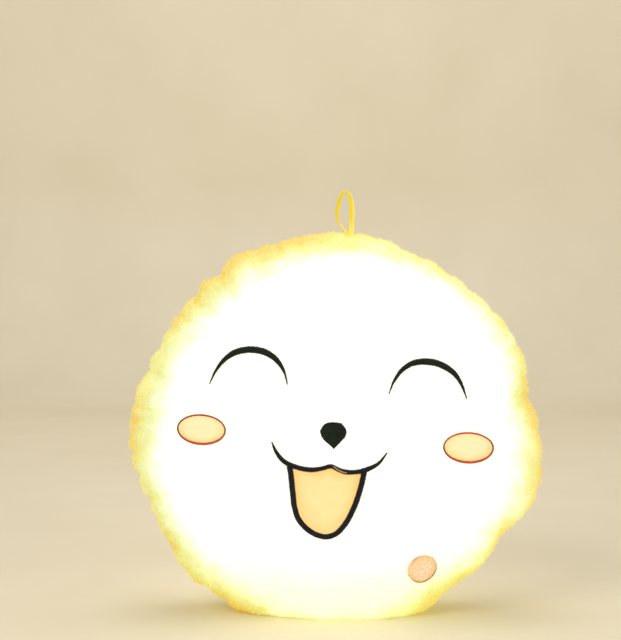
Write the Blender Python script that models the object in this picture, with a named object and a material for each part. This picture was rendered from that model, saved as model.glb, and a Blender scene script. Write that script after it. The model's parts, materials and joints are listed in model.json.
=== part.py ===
"""A round plush night light that stands on its edge: a sewn cushion with a lamp, a switch and batteries.

Metres, +Z up. The face looks along -Y, the sewn rim lies in the plane Y = 0, and the origin is under
the middle of the foot. A press on the round patch switches the lamp, and a zip at the back opens on
the battery box.
"""

import math

import bmesh
import bpy
from mathutils import Matrix, Vector

# Clearances
CLEARANCE = 0.0003
OVERRUN = 0.004
SMOOTH_ANGLE = math.radians(35)
MITRE_LIMIT = 0.7
LINE_STEPS = 2
COIL_STEPS = 9

# Cushion form
CUSHION_RADIUS = 0.1706
FOOT_FLATTENED = 0.0311
FRONT_DEPTH = 0.055
REAR_DEPTH = 0.052
SEAM_TUCK = 0.004
TUCK_REACH = 0.005
FRONT_POWER = 3.0
REAR_POWER = 4.5
PANEL_WALL = 0.0025
FLANGE_WIDTH = 0.010
FLANGE_WALL = 0.0012
ANGLE_COUNT = 40
RING_SHARES = (0.125, 0.25, 0.375, 0.5, 0.625, 0.75, 0.875, 0.945, 1.0)
WAVE_SHARES = (
    (1, -0.005, -0.056),
    (2, -0.003, 0.004),
    (3, 0.0095, 0.008),
    (4, 0.0215, -0.001),
    (5, -0.001, -0.015),
    (6, -0.004, -0.008),
    (7, -0.0115, 0.001),
)

# Binding of the seam allowance, inside the rim
BINDING_WALL = 0.0006
BINDING_START = 0.005

# Hanging loop of flat tape
LOOP_PLACE_SHARE = 0.064
LOOP_HEIGHT = 0.0333
LOOP_TAPE_WIDTH = 0.0044
LOOP_TAPE_WALL = 0.0012
LOOP_HINGE_RISE = 0.0052
LOOP_ROOT_RADIUS = 0.0009
LOOP_ANCHOR_WIDTH = 0.0086
LOOP_ANCHOR_DEPTH = 0.0044
LOOP_ROUTE_SHARES = (
    (0.057, 0.0),
    (0.063, 0.25),
    (0.063, 0.50),
    (0.049, 0.74),
    (0.017, 0.89),
    (-0.049, 0.98),
    (-0.126, 0.97),
    (-0.197, 0.87),
    (-0.249, 0.74),
    (-0.291, 0.58),
    (-0.306, 0.42),
    (-0.280, 0.26),
    (-0.209, 0.12),
    (-0.090, 0.0),
)
LOOP_TWIST_DEGREES = (0, 0, 4, 18, 50, 90, 125, 138, 140, 138, 134, 136, 150, 180)

# Embroidery on the face
THREAD_HEIGHT = 0.0013
THREAD_EDGE = 0.0006
APPLIQUE_HEIGHT = 0.0010
APPLIQUE_EDGE = 0.0006
EYE_HALF_WIDTH = 0.0317
EYE_STROKE = 0.0055
LEFT_EYE_PLACE_SHARES = (-0.4156, 0.2315)
RIGHT_EYE_PLACE_SHARES = (0.4343, 0.1741)
LEFT_EYE_SHARES = (
    (-1.0, 0.0, 0.08),
    (-0.848, 0.323, 0.36),
    (-0.665, 0.573, 0.60),
    (-0.421, 0.769, 0.88),
    (0.057, 0.886, 1.0),
    (0.475, 0.804, 0.98),
    (0.775, 0.570, 0.73),
    (0.921, 0.320, 0.38),
    (1.0, 0.010, 0.08),
)
RIGHT_EYE_SHARES = (
    (-1.0, 0.070, 0.08),
    (-0.862, 0.410, 0.38),
    (-0.687, 0.658, 0.62),
    (-0.445, 0.834, 0.82),
    (-0.025, 0.897, 1.0),
    (0.398, 0.784, 0.95),
    (0.715, 0.542, 0.74),
    (0.881, 0.263, 0.42),
    (1.0, -0.070, 0.08),
)
NOSE_HALF_WIDTH = 0.0107
NOSE_PLACE_SHARES = (-0.0129, 0.0094)
NOSE_SHARES = (
    (0.037, -1.206),
    (0.56, -0.76),
    (0.907, -0.43),
    (1.0, 0.05),
    (0.617, 0.56),
    (-0.075, 0.757),
    (-0.70, 0.56),
    (-1.0, 0.0),
    (-0.88, -0.44),
    (-0.50, -0.78),
    (0.037, -1.206),
)
MOUTH_HALF_WIDTH = 0.0466
MOUTH_PLACE_SHARES = (-0.0311, -0.1583)
LIP_STROKE = 0.0034
LIP_ROOM = 0.0008
LIP_LEFT_SHARES = (
    (-1.0, 0.431, 0.12),
    (-0.912, 0.242, 0.45),
    (-0.813, 0.116, 0.68),
    (-0.552, -0.011, 1.0),
    (-0.273, -0.049, 1.0),
    (-0.120, -0.024, 0.86),
    (0.034, 0.013, 0.90),
)
LIP_RIGHT_SHARES = (
    (0.034, 0.013, 0.90),
    (0.159, -0.047, 0.90),
    (0.283, -0.086, 1.0),
    (0.436, -0.090, 0.92),
    (0.685, -0.024, 0.98),
    (0.807, 0.056, 0.56),
    (1.0, 0.249, 0.12),
)
JAW_STROKE = 0.0044
JAW_DROP = 0.0012
JAW_SHARES = (
    (-0.676, 0.0),
    (-0.635, -0.412),
    (-0.588, -0.725),
    (-0.528, -0.899),
    (-0.403, -1.058),
    (-0.249, -1.174),
    (-0.056, -1.227),
    (0.116, -1.178),
    (0.255, -1.032),
    (0.423, -0.721),
    (0.530, -0.408),
    (0.616, 0.0),
)
CHEEK_HALF_WIDTH = 0.0205
CHEEK_HALF_HEIGHT = 0.0125
CHEEK_EDGING_WIDTH = 0.0015
CHEEK_TILT = math.radians(-4.5)
CHEEK_POINTS = 24
LEFT_CHEEK_PLACE_SHARES = (-0.6407, 0.0135)
RIGHT_CHEEK_PLACE_SHARES = (0.6295, -0.0703)

# Switch under the round patch
SWITCH_PLACE_SHARES = (0.4162, -0.6659)
PATCH_RADIUS = 0.0128
PATCH_WALL = 0.0008
PATCH_PROUD = 0.0010
PATCH_EDGING_WIDTH = 0.0014
PATCH_EDGING_HEIGHT = 0.0005
PATCH_HOLE_CLEARANCE = 0.0006
PRESS_TRAVEL = 0.002
CAP_MARGIN = 0.0004
CAP_WALL = 0.0015
CAP_ROOF = 0.0034
CAP_SKIRT_DEPTH = 0.0070
STEM_RADIUS = 0.0025
STEM_DEPTH = 0.0085
HOUSING_WALL = 0.0024
HOUSING_START = 0.0054
HOUSING_LEDGE = 0.0015
BOARD_WALL = 0.0016
TACT_SIDE = 0.006
TACT_HEIGHT = 0.0035
PLUNGER_RADIUS = 0.0017
PLUNGER_HEIGHT = 0.0009
LEAD_ROOM = 0.0049
COVER_WALL = 0.0015
COVER_RING_WALL = 0.0015
SPRING_RADIUS = 0.006
SPRING_WIRE = 0.00035
SPRING_TURNS = 3.5
SWITCH_SIDES = 24

# Lamp in the middle
LAMP_HEIGHT = 0.165
LAMP_RADIUS = 0.030
LAMP_BACK = 0.0006
LAMP_BASE_WALL = 0.002
LAMP_BASE_HEIGHT = 0.009
LAMP_DOME_HEIGHT = 0.028
LAMP_DOME_WALL = 0.0015
LAMP_SIDES = 26
LAMP_DOME_STEPS = 5
STANDOFF_RADIUS = 0.003
STANDOFF_PLACE = 0.019
STANDOFF_HEIGHT = 0.0042
STANDOFF_COUNT = 3
SCREW_RADIUS = 0.0011
SCREW_HEAD_RADIUS = 0.0022
SCREW_HEAD_HEIGHT = 0.0012
SCREW_SIDES = 10
LED_SIDE = 0.005
LED_HEIGHT = 0.0016
LED_RING = 0.013
LED_COUNT = 4
DRIVER_SIDE = 0.006
DRIVER_HEIGHT = 0.002
DRIVER_PLACE = 0.008
COIL_RADIUS = 0.003

# Leads
LEAD_RADIUS = 0.0012
LEAD_STEP = 0.006
LEAD_CURVE_STEPS = 8
LEAD_TAIL = 0.006
EYELET_FLANGE = 0.0020
EYELET_LIP = 0.0010

# Battery box
CELL_RADIUS = 0.00725
CELL_LENGTH = 0.0492
CELL_NUB_RADIUS = 0.00275
CELL_NUB_LENGTH = 0.0013
CELL_SIDES = 18
CELL_COUNT = 3
CELL_GAP = 0.0006
CASE_WALL = 0.0018
CASE_FLOOR = 0.0016
CASE_SPRING_ROOM = 0.0072
CASE_PLATE_ROOM = 0.0013
CASE_RIB_WALL = 0.0008
CASE_RIB_HEIGHT = 0.0035
CASE_LIP = 0.0012
CASE_GROOVE = 0.0010
COVER_PLATE = 0.0014
COVER_TRAVEL = 0.060
COVER_RIB_COUNT = 3
COVER_RIB_PITCH = 0.003
COVER_RIB_WIDTH = 0.0012
COVER_RIB_LENGTH = 0.016
COVER_RIB_HEIGHT = 0.0006
CONTACT_WALL = 0.0005
CONTACT_SIDE = 0.009
CONTACT_WIRE = 0.0003
CONTACT_SPRING_RADIUS = 0.0042
CONTACT_TIP_RADIUS = 0.0024
CONTACT_TURNS = 2.5

# Battery pocket and zip at the back
ZIP_HEIGHT = 0.115
POCKET_HAND_ROOM = 0.0256
POCKET_SIDE_ROOM = 0.00245
POCKET_TOP_ROOM = 0.0022
POCKET_WALL = 0.0006
POCKET_FLANGE = 0.004
TAPE_END = 0.007
TAPE_WIDTH = 0.011
TAPE_WALL = 0.0007
TEETH_THICKNESS = 0.0024
TEETH_PITCH = 0.004
TOOTH_WIDTH = 0.0016
TOOTH_LENGTH = 0.0022
TOOTH_OVERLAP = 0.0009
TEETH_CORD = 0.0014
SLIDER_START_ROOM = 0.0073
SLIDER_LENGTH = 0.010
SLIDER_PLATE = 0.0012
SLIDER_ROOM = 0.00035
SLIDER_FLANGE = 0.0008
SLIDER_TAPE_ROOM = 0.0005
STOP_LENGTH = 0.0025
SLOT_CLEARANCE = 0.0005
SLOT_END_ROOM = 0.0022
SLOT_CORNER_STEPS = 3
PULL_LENGTH = 0.024
PULL_WIDTH = 0.007
PULL_WALL = 0.0014
PULL_BAR_RADIUS = 0.0007
PULL_ARM = 0.0014
PULL_ROOM = 0.0012
LUG_HALF_WIDTH = 0.0013
LUG_POST = 0.0010
LUG_ROOM = 0.0003
LUG_BRIDGE = 0.0008


def wave(angle):
    """The outline's radius at an angle, as a share of the cushion's radius."""
    share = 1.0
    for count, cosine, sine in WAVE_SHARES:
        share += cosine * math.cos(count * angle) + sine * math.sin(count * angle)
    return share


CENTRE_HEIGHT = CUSHION_RADIUS * wave(-math.pi / 2) - FOOT_FLATTENED
SEAM_HALF_GAP = CLEARANCE / 2
FLANGE_FACE = SEAM_HALF_GAP + FLANGE_WALL
BINDING_INNER = FLANGE_FACE + CLEARANCE
BINDING_OUTER = BINDING_INNER + BINDING_WALL
BINDING_REACH = FLANGE_WIDTH + CLEARANCE + BINDING_WALL
FRONT_FORM = (FRONT_DEPTH, FRONT_POWER, -1)
REAR_FORM = (REAR_DEPTH, REAR_POWER, 1)


def clear_scene():
    for thing in list(bpy.data.objects):
        bpy.data.objects.remove(thing, do_unlink=True)


def material(name, colour, roughness, metallic=0.0):
    made = bpy.data.materials.new(name)
    made.use_nodes = True
    shader = made.node_tree.nodes["Principled BSDF"]
    shader.inputs["Base Color"].default_value = (*colour, 1.0)
    shader.inputs["Roughness"].default_value = roughness
    shader.inputs["Metallic"].default_value = metallic
    made.diffuse_color = (*colour, 1.0)
    return made


def place(thing, surface=None, parent=None, origin=None):
    """Links an object, with its material, its parent and its origin."""
    bpy.context.scene.collection.objects.link(thing)
    if surface:
        thing.data.materials.append(surface)
    if parent:
        thing.parent = parent
    if origin:
        thing.location = origin
    return thing


def solid(name, shape, surface, parent=None, origin=None):
    """Turns a bmesh into an object, with its faces pointing out."""
    if origin:
        bmesh.ops.translate(shape, verts=shape.verts, vec=-Vector(origin))
    bmesh.ops.recalc_face_normals(shape, faces=shape.faces)
    mesh = bpy.data.meshes.new(name)
    shape.to_mesh(mesh)
    shape.free()
    mesh.shade_smooth()
    mesh.set_sharp_from_angle(angle=SMOOTH_ANGLE)
    return place(bpy.data.objects.new(name, mesh), surface, parent, origin)


def cutter(name, shape, parent=None, origin=None):
    made = solid(name, shape, None, parent, origin)
    made.hide_render = True
    made.display_type = "WIRE"
    return made


def combine(target, other, operation):
    step = target.modifiers.new(other.name, "BOOLEAN")
    step.operation = operation
    step.solver = "EXACT"
    step.object = other
    return target


def cut(target, *others):
    for other in others:
        combine(target, other, "DIFFERENCE")
    return target


def join(target, *others):
    for other in others:
        combine(target, other, "UNION")
    return target


def frame_empty(name, matrix):
    made = bpy.data.objects.new(name, None)
    bpy.context.scene.collection.objects.link(made)
    made.matrix_world = matrix
    return made


def tube(name, points, radius, surface, resolution=2, parent=None):
    """A round wire along a list of points, with closed ends."""
    curve = bpy.data.curves.new(name, "CURVE")
    curve.dimensions = "3D"
    curve.bevel_depth = radius
    curve.bevel_resolution = resolution
    curve.use_fill_caps = True
    line = curve.splines.new("POLY")
    line.points.add(len(points) - 1)
    for slot, point in zip(line.points, points):
        slot.co = (*point, 1.0)
    return place(bpy.data.objects.new(name, curve), surface, parent)


def round_channel(name, points, radius, sides):
    """A cutter that follows a route, with a round section."""
    sections = []
    side = Vector((0, 1, 0)).cross(points[1] - points[0]).normalized()
    for before, point, after in zip([points[0], *points], points, [*points[1:], points[-1]]):
        along = (after - before).normalized()
        side = (side - side.dot(along) * along).normalized()
        up = along.cross(side)
        ring = []
        for step in range(sides):
            angle = math.tau * step / sides
            ring.append(point + radius * (math.cos(angle) * side + math.sin(angle) * up))
        sections.append(ring)
    return cutter(name, sweep(sections, False))


def smooth_through(points, steps, places=3):
    """Points on a smooth curve through the given ones; the first few numbers of each are its place."""
    known = [Vector(point) for point in points]
    gaps = [(Vector(b[:places]) - Vector(a[:places])).length for a, b in zip(points, points[1:])]
    slopes = [(b - a) / gap for a, b, gap in zip(known, known[1:], gaps)]
    bends = [slopes[0]]
    for one, other, near, far in zip(slopes, slopes[1:], gaps, gaps[1:]):
        bends.append((one * far + other * near) / (near + far))
    bends.append(slopes[-1])
    found = []
    for start, stop, leave, arrive, gap in zip(known, known[1:], bends, bends[1:], gaps):
        for step in range(steps):
            t = step / steps
            blend = t * t * (3 - 2 * t)
            found.append(start.lerp(stop, blend) + gap * t * (1 - t) * ((1 - t) * leave - t * arrive))
    found.append(known[-1])
    return found


def evenly_spaced(points, spacing):
    """The same route with points about so far apart."""
    lengths = [0.0]
    for start, stop in zip(points, points[1:]):
        lengths.append(lengths[-1] + (stop - start).length)
    count = max(2, round(lengths[-1] / spacing))
    found = []
    for step in range(count + 1):
        want = lengths[-1] * step / count
        k = min(len(points) - 2, max(i for i, length in enumerate(lengths) if length <= want))
        span = lengths[k + 1] - lengths[k]
        found.append(points[k].lerp(points[k + 1], (want - lengths[k]) / span))
    return found


def box(low, high):
    shape = bmesh.new()
    low, high = Vector(low), Vector(high)
    size = high - low
    scale = Matrix.Diagonal((*size, 1))
    bmesh.ops.create_cube(shape, size=1, matrix=Matrix.Translation((low + high) / 2) @ scale)
    return shape


def prism(outline, low, high):
    """An outline in X and Z, extruded along Y."""
    shape = bmesh.new()
    corners = [shape.verts.new((x, low, z)) for x, z in outline]
    face = shape.faces.new(corners)
    pushed = bmesh.ops.extrude_face_region(shape, geom=[face])
    moved = [item for item in pushed["geom"] if isinstance(item, bmesh.types.BMVert)]
    bmesh.ops.translate(shape, verts=moved, vec=(0, high - low, 0))
    return shape


def turned(profile, sides, shape=None, centre=(0, 0)):
    """A profile of radius and height turned about Z; an end on the axis closes there."""
    shape = shape or bmesh.new()
    rows = []
    for radius, height in profile:
        if radius == 0:
            rows.append([shape.verts.new((centre[0], centre[1], height))])
            continue
        row = []
        for step in range(sides):
            angle = math.tau * step / sides
            row.append(shape.verts.new(
                (centre[0] + radius * math.cos(angle), centre[1] + radius * math.sin(angle), height)
            ))
        rows.append(row)
    closed = len(rows[0]) > 1
    bridge_rows(shape, rows, closed)
    return shape


def bridge_rows(shape, rows, closed):
    """Faces between each row of points and the next; a row of one point is a pole."""
    pairs = list(zip(rows, rows[1:]))
    if closed:
        pairs.append((rows[-1], rows[0]))
    for one, other in pairs:
        count = max(len(one), len(other))
        for k in range(count):
            after = (k + 1) % count
            near = [one[k % len(one)], one[after % len(one)]]
            far = [other[after % len(other)], other[k % len(other)]]
            shape.faces.new(list(dict.fromkeys(near + far)))


def split_outwards(shape):
    """Splits each four-sided face of the cushion along the diagonal that lies further out."""
    middle = Vector((0, 0, CENTRE_HEIGHT))
    for face in [face for face in shape.faces if len(face.verts) == 4]:
        a, b, c, d = face.verts
        one = ((a.co + c.co) / 2 - middle).length
        other = ((b.co + d.co) / 2 - middle).length
        pair = (a, c) if one > other else (b, d)
        bmesh.utils.face_split(face, *pair)
    return shape


def sweep(sections, closed):
    """Faces along a row of equal sections, capped where the row is open."""
    shape = bmesh.new()
    rows = [[shape.verts.new(point) for point in section] for section in sections]
    if not closed:
        shape.faces.new(rows[0])
        shape.faces.new(reversed(rows[-1]))
    bridge_rows(shape, rows, closed)
    return shape


# The cushion's form


def floor_radius(angle, inset):
    """How far the floor lets the outline reach at an angle."""
    down = -math.sin(angle)
    if down <= 0:
        return math.inf
    return (CENTRE_HEIGHT - inset) / down


def rim_radius(angle):
    """The seam line's radius at an angle."""
    return min(CUSHION_RADIUS * wave(angle) - SEAM_TUCK, floor_radius(angle, 0))


def form_point(angle, form, turn):
    depth = form[0] * math.cos(turn)
    tuck = SEAM_TUCK * math.exp(-((depth / TUCK_REACH) ** 2))
    return Vector((CUSHION_RADIUS * wave(angle) * math.sin(turn) ** (2 / form[1]) - tuck, depth))


def inset_point(angle, form, turn, inset):
    """A point of the form's section, moved inwards square to the surface."""
    nudge = math.radians(0.5)
    point = form_point(angle, form, turn)
    along = form_point(angle, form, turn + nudge) - form_point(angle, form, turn - nudge)
    outwards = Vector((-along.y, along.x)).normalized()
    moved = point - inset * outwards
    return min(moved.x, floor_radius(angle, inset)), moved.y


ANGLES = [math.tau * step / ANGLE_COUNT for step in range(ANGLE_COUNT)]


def ring_points(form, inset, share, least_depth):
    row = []
    for angle in ANGLES:
        radius, depth = inset_point(angle, form, share * math.pi / 2, inset)
        row.append(form_place(angle, radius, max(depth, least_depth), form[2]))
    return row


def form_place(angle, radius, depth, side):
    return Vector((radius * math.cos(angle), side * depth, CENTRE_HEIGHT + radius * math.sin(angle)))


def rim_points(short_by, depth, side):
    return [form_place(angle, rim_radius(angle) - short_by, depth, side) for angle in ANGLES]


def pole(form, inset):
    return [Vector((0, form[2] * (form[0] - inset), CENTRE_HEIGHT))]


def closed_rows(rows):
    shape = bmesh.new()
    made = [[shape.verts.new(point) for point in row] for row in rows]
    bridge_rows(shape, made, False)
    return shape


def make_panel(name, form, surface):
    """One side of the plush cover, with its edge turned in along the seam."""
    outer = [ring_points(form, 0, share, SEAM_HALF_GAP) for share in RING_SHARES]
    inner = [ring_points(form, PANEL_WALL, share, FLANGE_FACE) for share in reversed(RING_SHARES)]
    flange = [
        rim_points(FLANGE_WIDTH, SEAM_HALF_GAP, form[2]),
        rim_points(FLANGE_WIDTH, FLANGE_FACE, form[2]),
    ]
    rows = [pole(form, 0), *outer, *flange, *inner, pole(form, PANEL_WALL)]
    return solid(name, split_outwards(closed_rows(rows)), surface)


def make_fill(name, form, surface):
    """One half of the wadding, stepped to clear the bound seam."""
    inset = PANEL_WALL + CLEARANCE
    step_face = BINDING_OUTER + CLEARANCE
    short_by = BINDING_REACH + CLEARANCE
    rows = [pole(form, inset)]
    rows += [ring_points(form, inset, share, step_face) for share in RING_SHARES]
    rows.append(rim_points(short_by, step_face, form[2]))
    rows.append(rim_points(short_by, SEAM_HALF_GAP, form[2]))
    rows.append([Vector((0, form[2] * SEAM_HALF_GAP, CENTRE_HEIGHT))])
    return solid(name, split_outwards(closed_rows(rows)), surface)


def make_binding(surface):
    """The tape that binds both turned-in edges together all the way round."""
    near = BINDING_START
    far_in = FLANGE_WIDTH + CLEARANCE
    far_out = BINDING_REACH
    section = [
        (near, BINDING_OUTER),
        (far_out, BINDING_OUTER),
        (far_out, -BINDING_OUTER),
        (near, -BINDING_OUTER),
        (near, -BINDING_INNER),
        (far_in, -BINDING_INNER),
        (far_in, BINDING_INNER),
        (near, BINDING_INNER),
    ]
    sections = []
    for angle in ANGLES:
        rim = rim_radius(angle)
        sections.append([form_place(angle, rim - short, depth, 1) for short, depth in section])
    return solid("seam_binding", sweep(sections, True), surface)


# Places on the front surface


def front_y(x, z):
    angle = math.atan2(z - CENTRE_HEIGHT, x)
    share = min(1.0, math.hypot(x, z - CENTRE_HEIGHT) / (CUSHION_RADIUS * wave(angle)))
    return -FRONT_DEPTH * math.sqrt(1 - share**FRONT_POWER)


def front_normal(x, z):
    nudge = CUSHION_RADIUS / 1000
    slope_x = (front_y(x + nudge, z) - front_y(x - nudge, z)) / (2 * nudge)
    slope_z = (front_y(x, z + nudge) - front_y(x, z - nudge)) / (2 * nudge)
    return Vector((slope_x, -1, slope_z)).normalized()


def front_place(x, z, lift):
    return Vector((x, front_y(x, z), z)) + lift * front_normal(x, z)


def face_place(shares):
    return CUSHION_RADIUS * shares[0], CENTRE_HEIGHT + CUSHION_RADIUS * shares[1]


def face_points(place_shares, size, shares):
    """Hand-set shares of a piece's size, as places in X and Z, with any third value kept."""
    x, z = face_place(place_shares)
    return [(x + size * row[0], z + size * row[1], *row[2:]) for row in shares]


def side_vectors(points, closed):
    """The vector to the left of the line at each point, longer in a corner, as in a mitre."""
    count = len(points)
    found = []
    for k, point in enumerate(points):
        before = points[k - 1] if closed or k else None
        after = points[(k + 1) % count] if closed or k < count - 1 else None
        arrive = (point - before).normalized() if before is not None else (after - point).normalized()
        leave = (after - point).normalized() if after is not None else arrive
        middle = (arrive + leave).normalized()
        stretch = 1 / max(MITRE_LIMIT, middle.dot(arrive))
        found.append(Vector((-middle.y, middle.x)) * stretch)
    return found


def stroke(name, points, widths, surface, closed=False):
    """A satin-stitched line on the front, as a raised strip that swells and tapers."""
    line = [Vector(point[:2]) for point in points]
    section = (
        (-1, 0),
        (-1, THREAD_EDGE),
        (0, THREAD_HEIGHT),
        (1, THREAD_EDGE),
        (1, 0),
    )
    sections = []
    for point, side, width in zip(line, side_vectors(line, closed), widths):
        ring = []
        for across, lift in section:
            at = point + side * (across * width / 2)
            ring.append(front_place(at.x, at.y, CLEARANCE + lift))
        sections.append(ring)
    return solid(name, sweep(sections, closed), surface)


def applique(name, outline, height, edge, surface):
    """A flat piece on the front that fills an outline, a little higher in its middle."""
    middle = sum((Vector(point[:2]) for point in outline), Vector((0, 0))) / len(outline)
    half = [middle.lerp(Vector(point[:2]), 0.5) for point in outline]
    whole = [Vector(point[:2]) for point in outline]

    def row(points, lift):
        return [front_place(point.x, point.y, CLEARANCE + lift) for point in points]

    rows = [
        row([middle], 0),
        row(half, 0),
        row(whole, 0),
        row(whole, edge),
        row(half, height),
        row([middle], height),
    ]
    return solid(name, closed_rows(rows), surface)


def lip_line():
    left = face_points(MOUTH_PLACE_SHARES, MOUTH_HALF_WIDTH, LIP_LEFT_SHARES)
    right = face_points(MOUTH_PLACE_SHARES, MOUTH_HALF_WIDTH, LIP_RIGHT_SHARES)
    return smooth_through(left, LINE_STEPS, 2)[:-1] + smooth_through(right, LINE_STEPS, 2)


def lip_lower_edge(points):
    """The lip's lower edge, with room below it."""
    line = [Vector(point[:2]) for point in points]
    found = []
    for point, side, whole in zip(line, side_vectors(line, False), points):
        found.append(point - side * (LIP_STROKE * whole[2] / 2 + LIP_ROOM))
    return found


def jaw_line(lip):
    """The mouth's lower outline, which stops just under the lip at both ends."""
    points = [Vector(point) for point in face_points(MOUTH_PLACE_SHARES, MOUTH_HALF_WIDTH, JAW_SHARES)]
    edge = lip_lower_edge(lip)
    for end in (points[0], points[-1]):
        near = [point.y for point in edge if abs(point.x - end.x) < JAW_STROKE]
        end.y = min(near) - JAW_DROP
    return smooth_through(points, LINE_STEPS)


def mouth_outline(lip, jaw):
    """The space inside the mouth: the jaw's inner edge, closed along the lip's lower edge."""
    sides = side_vectors(jaw, False)
    inner = [point + side * (JAW_STROKE / 2 + CLEARANCE) for point, side in zip(jaw, sides)]
    room = [inner[0].x + CLEARANCE, inner[-1].x - CLEARANCE]
    roof = [point for point in lip_lower_edge(lip) if room[0] < point.x < room[1]]
    return inner + roof[::-1]


def cheek_outline(centre, short):
    """A cheek's tilted ellipse, drawn in by a distance."""
    found = []
    for step in range(CHEEK_POINTS):
        angle = math.tau * step / CHEEK_POINTS
        x = (CHEEK_HALF_WIDTH - short) * math.cos(angle)
        z = (CHEEK_HALF_HEIGHT - short) * math.sin(angle)
        found.append((
            centre[0] + x * math.cos(CHEEK_TILT) - z * math.sin(CHEEK_TILT),
            centre[1] + x * math.sin(CHEEK_TILT) + z * math.cos(CHEEK_TILT),
        ))
    return found


def make_face(dark, red, peach):
    """The embroidered eyes, nose and mouth, and the two cheeks."""
    eyes = (
        ("left_eye", LEFT_EYE_PLACE_SHARES, LEFT_EYE_SHARES),
        ("right_eye", RIGHT_EYE_PLACE_SHARES, RIGHT_EYE_SHARES),
    )
    for name, place_shares, shares in eyes:
        points = smooth_through(face_points(place_shares, EYE_HALF_WIDTH, shares), LINE_STEPS, 2)
        stroke(name, points, [EYE_STROKE * point[2] for point in points], dark)
    nose = smooth_through(face_points(NOSE_PLACE_SHARES, NOSE_HALF_WIDTH, NOSE_SHARES), LINE_STEPS)[:-1]
    applique("nose", nose, THREAD_HEIGHT, THREAD_EDGE, dark)
    lip = lip_line()
    stroke("lip_line", lip, [LIP_STROKE * point[2] for point in lip], dark)
    jaw = jaw_line(lip)
    stroke("jaw_line", jaw, [JAW_STROKE] * len(jaw), dark)
    applique("mouth_fill", mouth_outline(lip, jaw), APPLIQUE_HEIGHT, APPLIQUE_EDGE, peach)
    cheeks = (("left_cheek", LEFT_CHEEK_PLACE_SHARES), ("right_cheek", RIGHT_CHEEK_PLACE_SHARES))
    for name, place_shares in cheeks:
        centre = face_place(place_shares)
        line = cheek_outline(centre, CHEEK_EDGING_WIDTH / 2)
        stroke(name + "_edging", line, [CHEEK_EDGING_WIDTH] * len(line), red, True)
        inner = cheek_outline(centre, CHEEK_EDGING_WIDTH + CLEARANCE)
        applique(name, inner, APPLIQUE_HEIGHT, APPLIQUE_EDGE, peach)


# The hanging loop


def make_loop(surface, panels):
    """A loop of flat tape that swings on its root, and the tape's ends in the seam."""
    across = CUSHION_RADIUS * LOOP_PLACE_SHARE
    angle = math.acos(across / rim_radius(math.pi / 2))
    seam_height = CENTRE_HEIGHT + rim_radius(angle) * math.sin(angle)
    hinge = Vector((across, 0, seam_height + LOOP_HINGE_RISE))
    route = []
    for (along, up), twist in zip(LOOP_ROUTE_SHARES, LOOP_TWIST_DEGREES):
        route.append((across + LOOP_HEIGHT * along, hinge.z + LOOP_HEIGHT * up, math.radians(twist)))
    points = smooth_through(route, LINE_STEPS, 2)
    line = [Vector(point[:2]) for point in points]
    sections = []
    for point, side, whole in zip(line, side_vectors(line, False), points):
        flat = Vector((side.x, 0, side.y)).normalized()
        deep = Vector((0, 1, 0))
        width = flat * math.cos(whole[2]) + deep * math.sin(whole[2])
        wall = deep * math.cos(whole[2]) - flat * math.sin(whole[2])
        at = Vector((point.x, 0, point.y))
        half_width = width * (LOOP_TAPE_WIDTH / 2)
        half_wall = wall * (LOOP_TAPE_WALL / 2)
        sections.append([
            at - half_width - half_wall,
            at + half_width - half_wall,
            at + half_width + half_wall,
            at - half_width + half_wall,
        ])
    for row in (sections[0], sections[-1]):
        for corner in row:
            corner.z = hinge.z
    loop = solid("hanging_loop", sweep(sections, False), surface, origin=hinge)
    ends = [corner.x for row in (sections[0], sections[-1]) for corner in row]
    root = cutter("loop_root", turned([
        (0, min(ends) - CLEARANCE),
        (LOOP_ROOT_RADIUS, min(ends) - CLEARANCE),
        (LOOP_ROOT_RADIUS, max(ends) + CLEARANCE),
        (0, max(ends) + CLEARANCE),
    ], SCREW_SIDES))
    root.matrix_world = Matrix.Translation((0, 0, hinge.z)) @ Matrix.Rotation(math.pi / 2, 4, "Y")
    join(loop, root)
    half = LOOP_ANCHOR_WIDTH / 2
    top = hinge.z - LOOP_ROOT_RADIUS - CLEARANCE
    low = Vector((across - half, -LOOP_TAPE_WALL / 2, seam_height - LOOP_ANCHOR_DEPTH))
    high = Vector((across + half, LOOP_TAPE_WALL / 2, top))
    solid("loop_anchor", box(low, high), surface)
    room = Vector((CLEARANCE, CLEARANCE, CLEARANCE))
    notch = cutter("loop_notch", box(low - room, high + room + Vector((0, 0, OVERRUN))))
    for panel in panels:
        cut(panel, notch)


# The switch


def switch_matrix():
    """The frame at the patch: Z square out of the plush, Y towards the face's middle."""
    x, z = face_place(SWITCH_PLACE_SHARES)
    outwards = front_normal(x, z)
    radial = Vector((x, 0, z - CENTRE_HEIGHT)).normalized()
    inwards = -(radial - radial.dot(outwards) * outwards).normalized()
    across = inwards.cross(outwards)
    turn = Matrix((across, inwards, outwards)).transposed().to_4x4()
    return Matrix.Translation(front_place(x, z, 0)) @ turn


def surface_rise(matrix, u, v):
    """How far the plush's surface lies from the patch's tangent plane, along its axis."""
    outwards = matrix.col[2].to_3d()
    start = matrix @ Vector((u, v, 0))
    rise = 0.0
    for _ in range(8):
        at = start + rise * outwards
        miss = (at.y - front_y(at.x, at.z)) / front_normal(at.x, at.z).y
        slope = outwards.dot(front_normal(at.x, at.z)) / front_normal(at.x, at.z).y ** 2
        rise -= miss / slope
    return rise


def switch_row(matrix, radius, lift):
    """A ring of points in the switch's frame that follows the plush's surface."""
    row = []
    for step in range(SWITCH_SIDES):
        angle = math.tau * step / SWITCH_SIDES
        u, v = radius * math.cos(angle), radius * math.sin(angle)
        row.append(Vector((u, v, surface_rise(matrix, u, v) + lift)))
    return row


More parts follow.
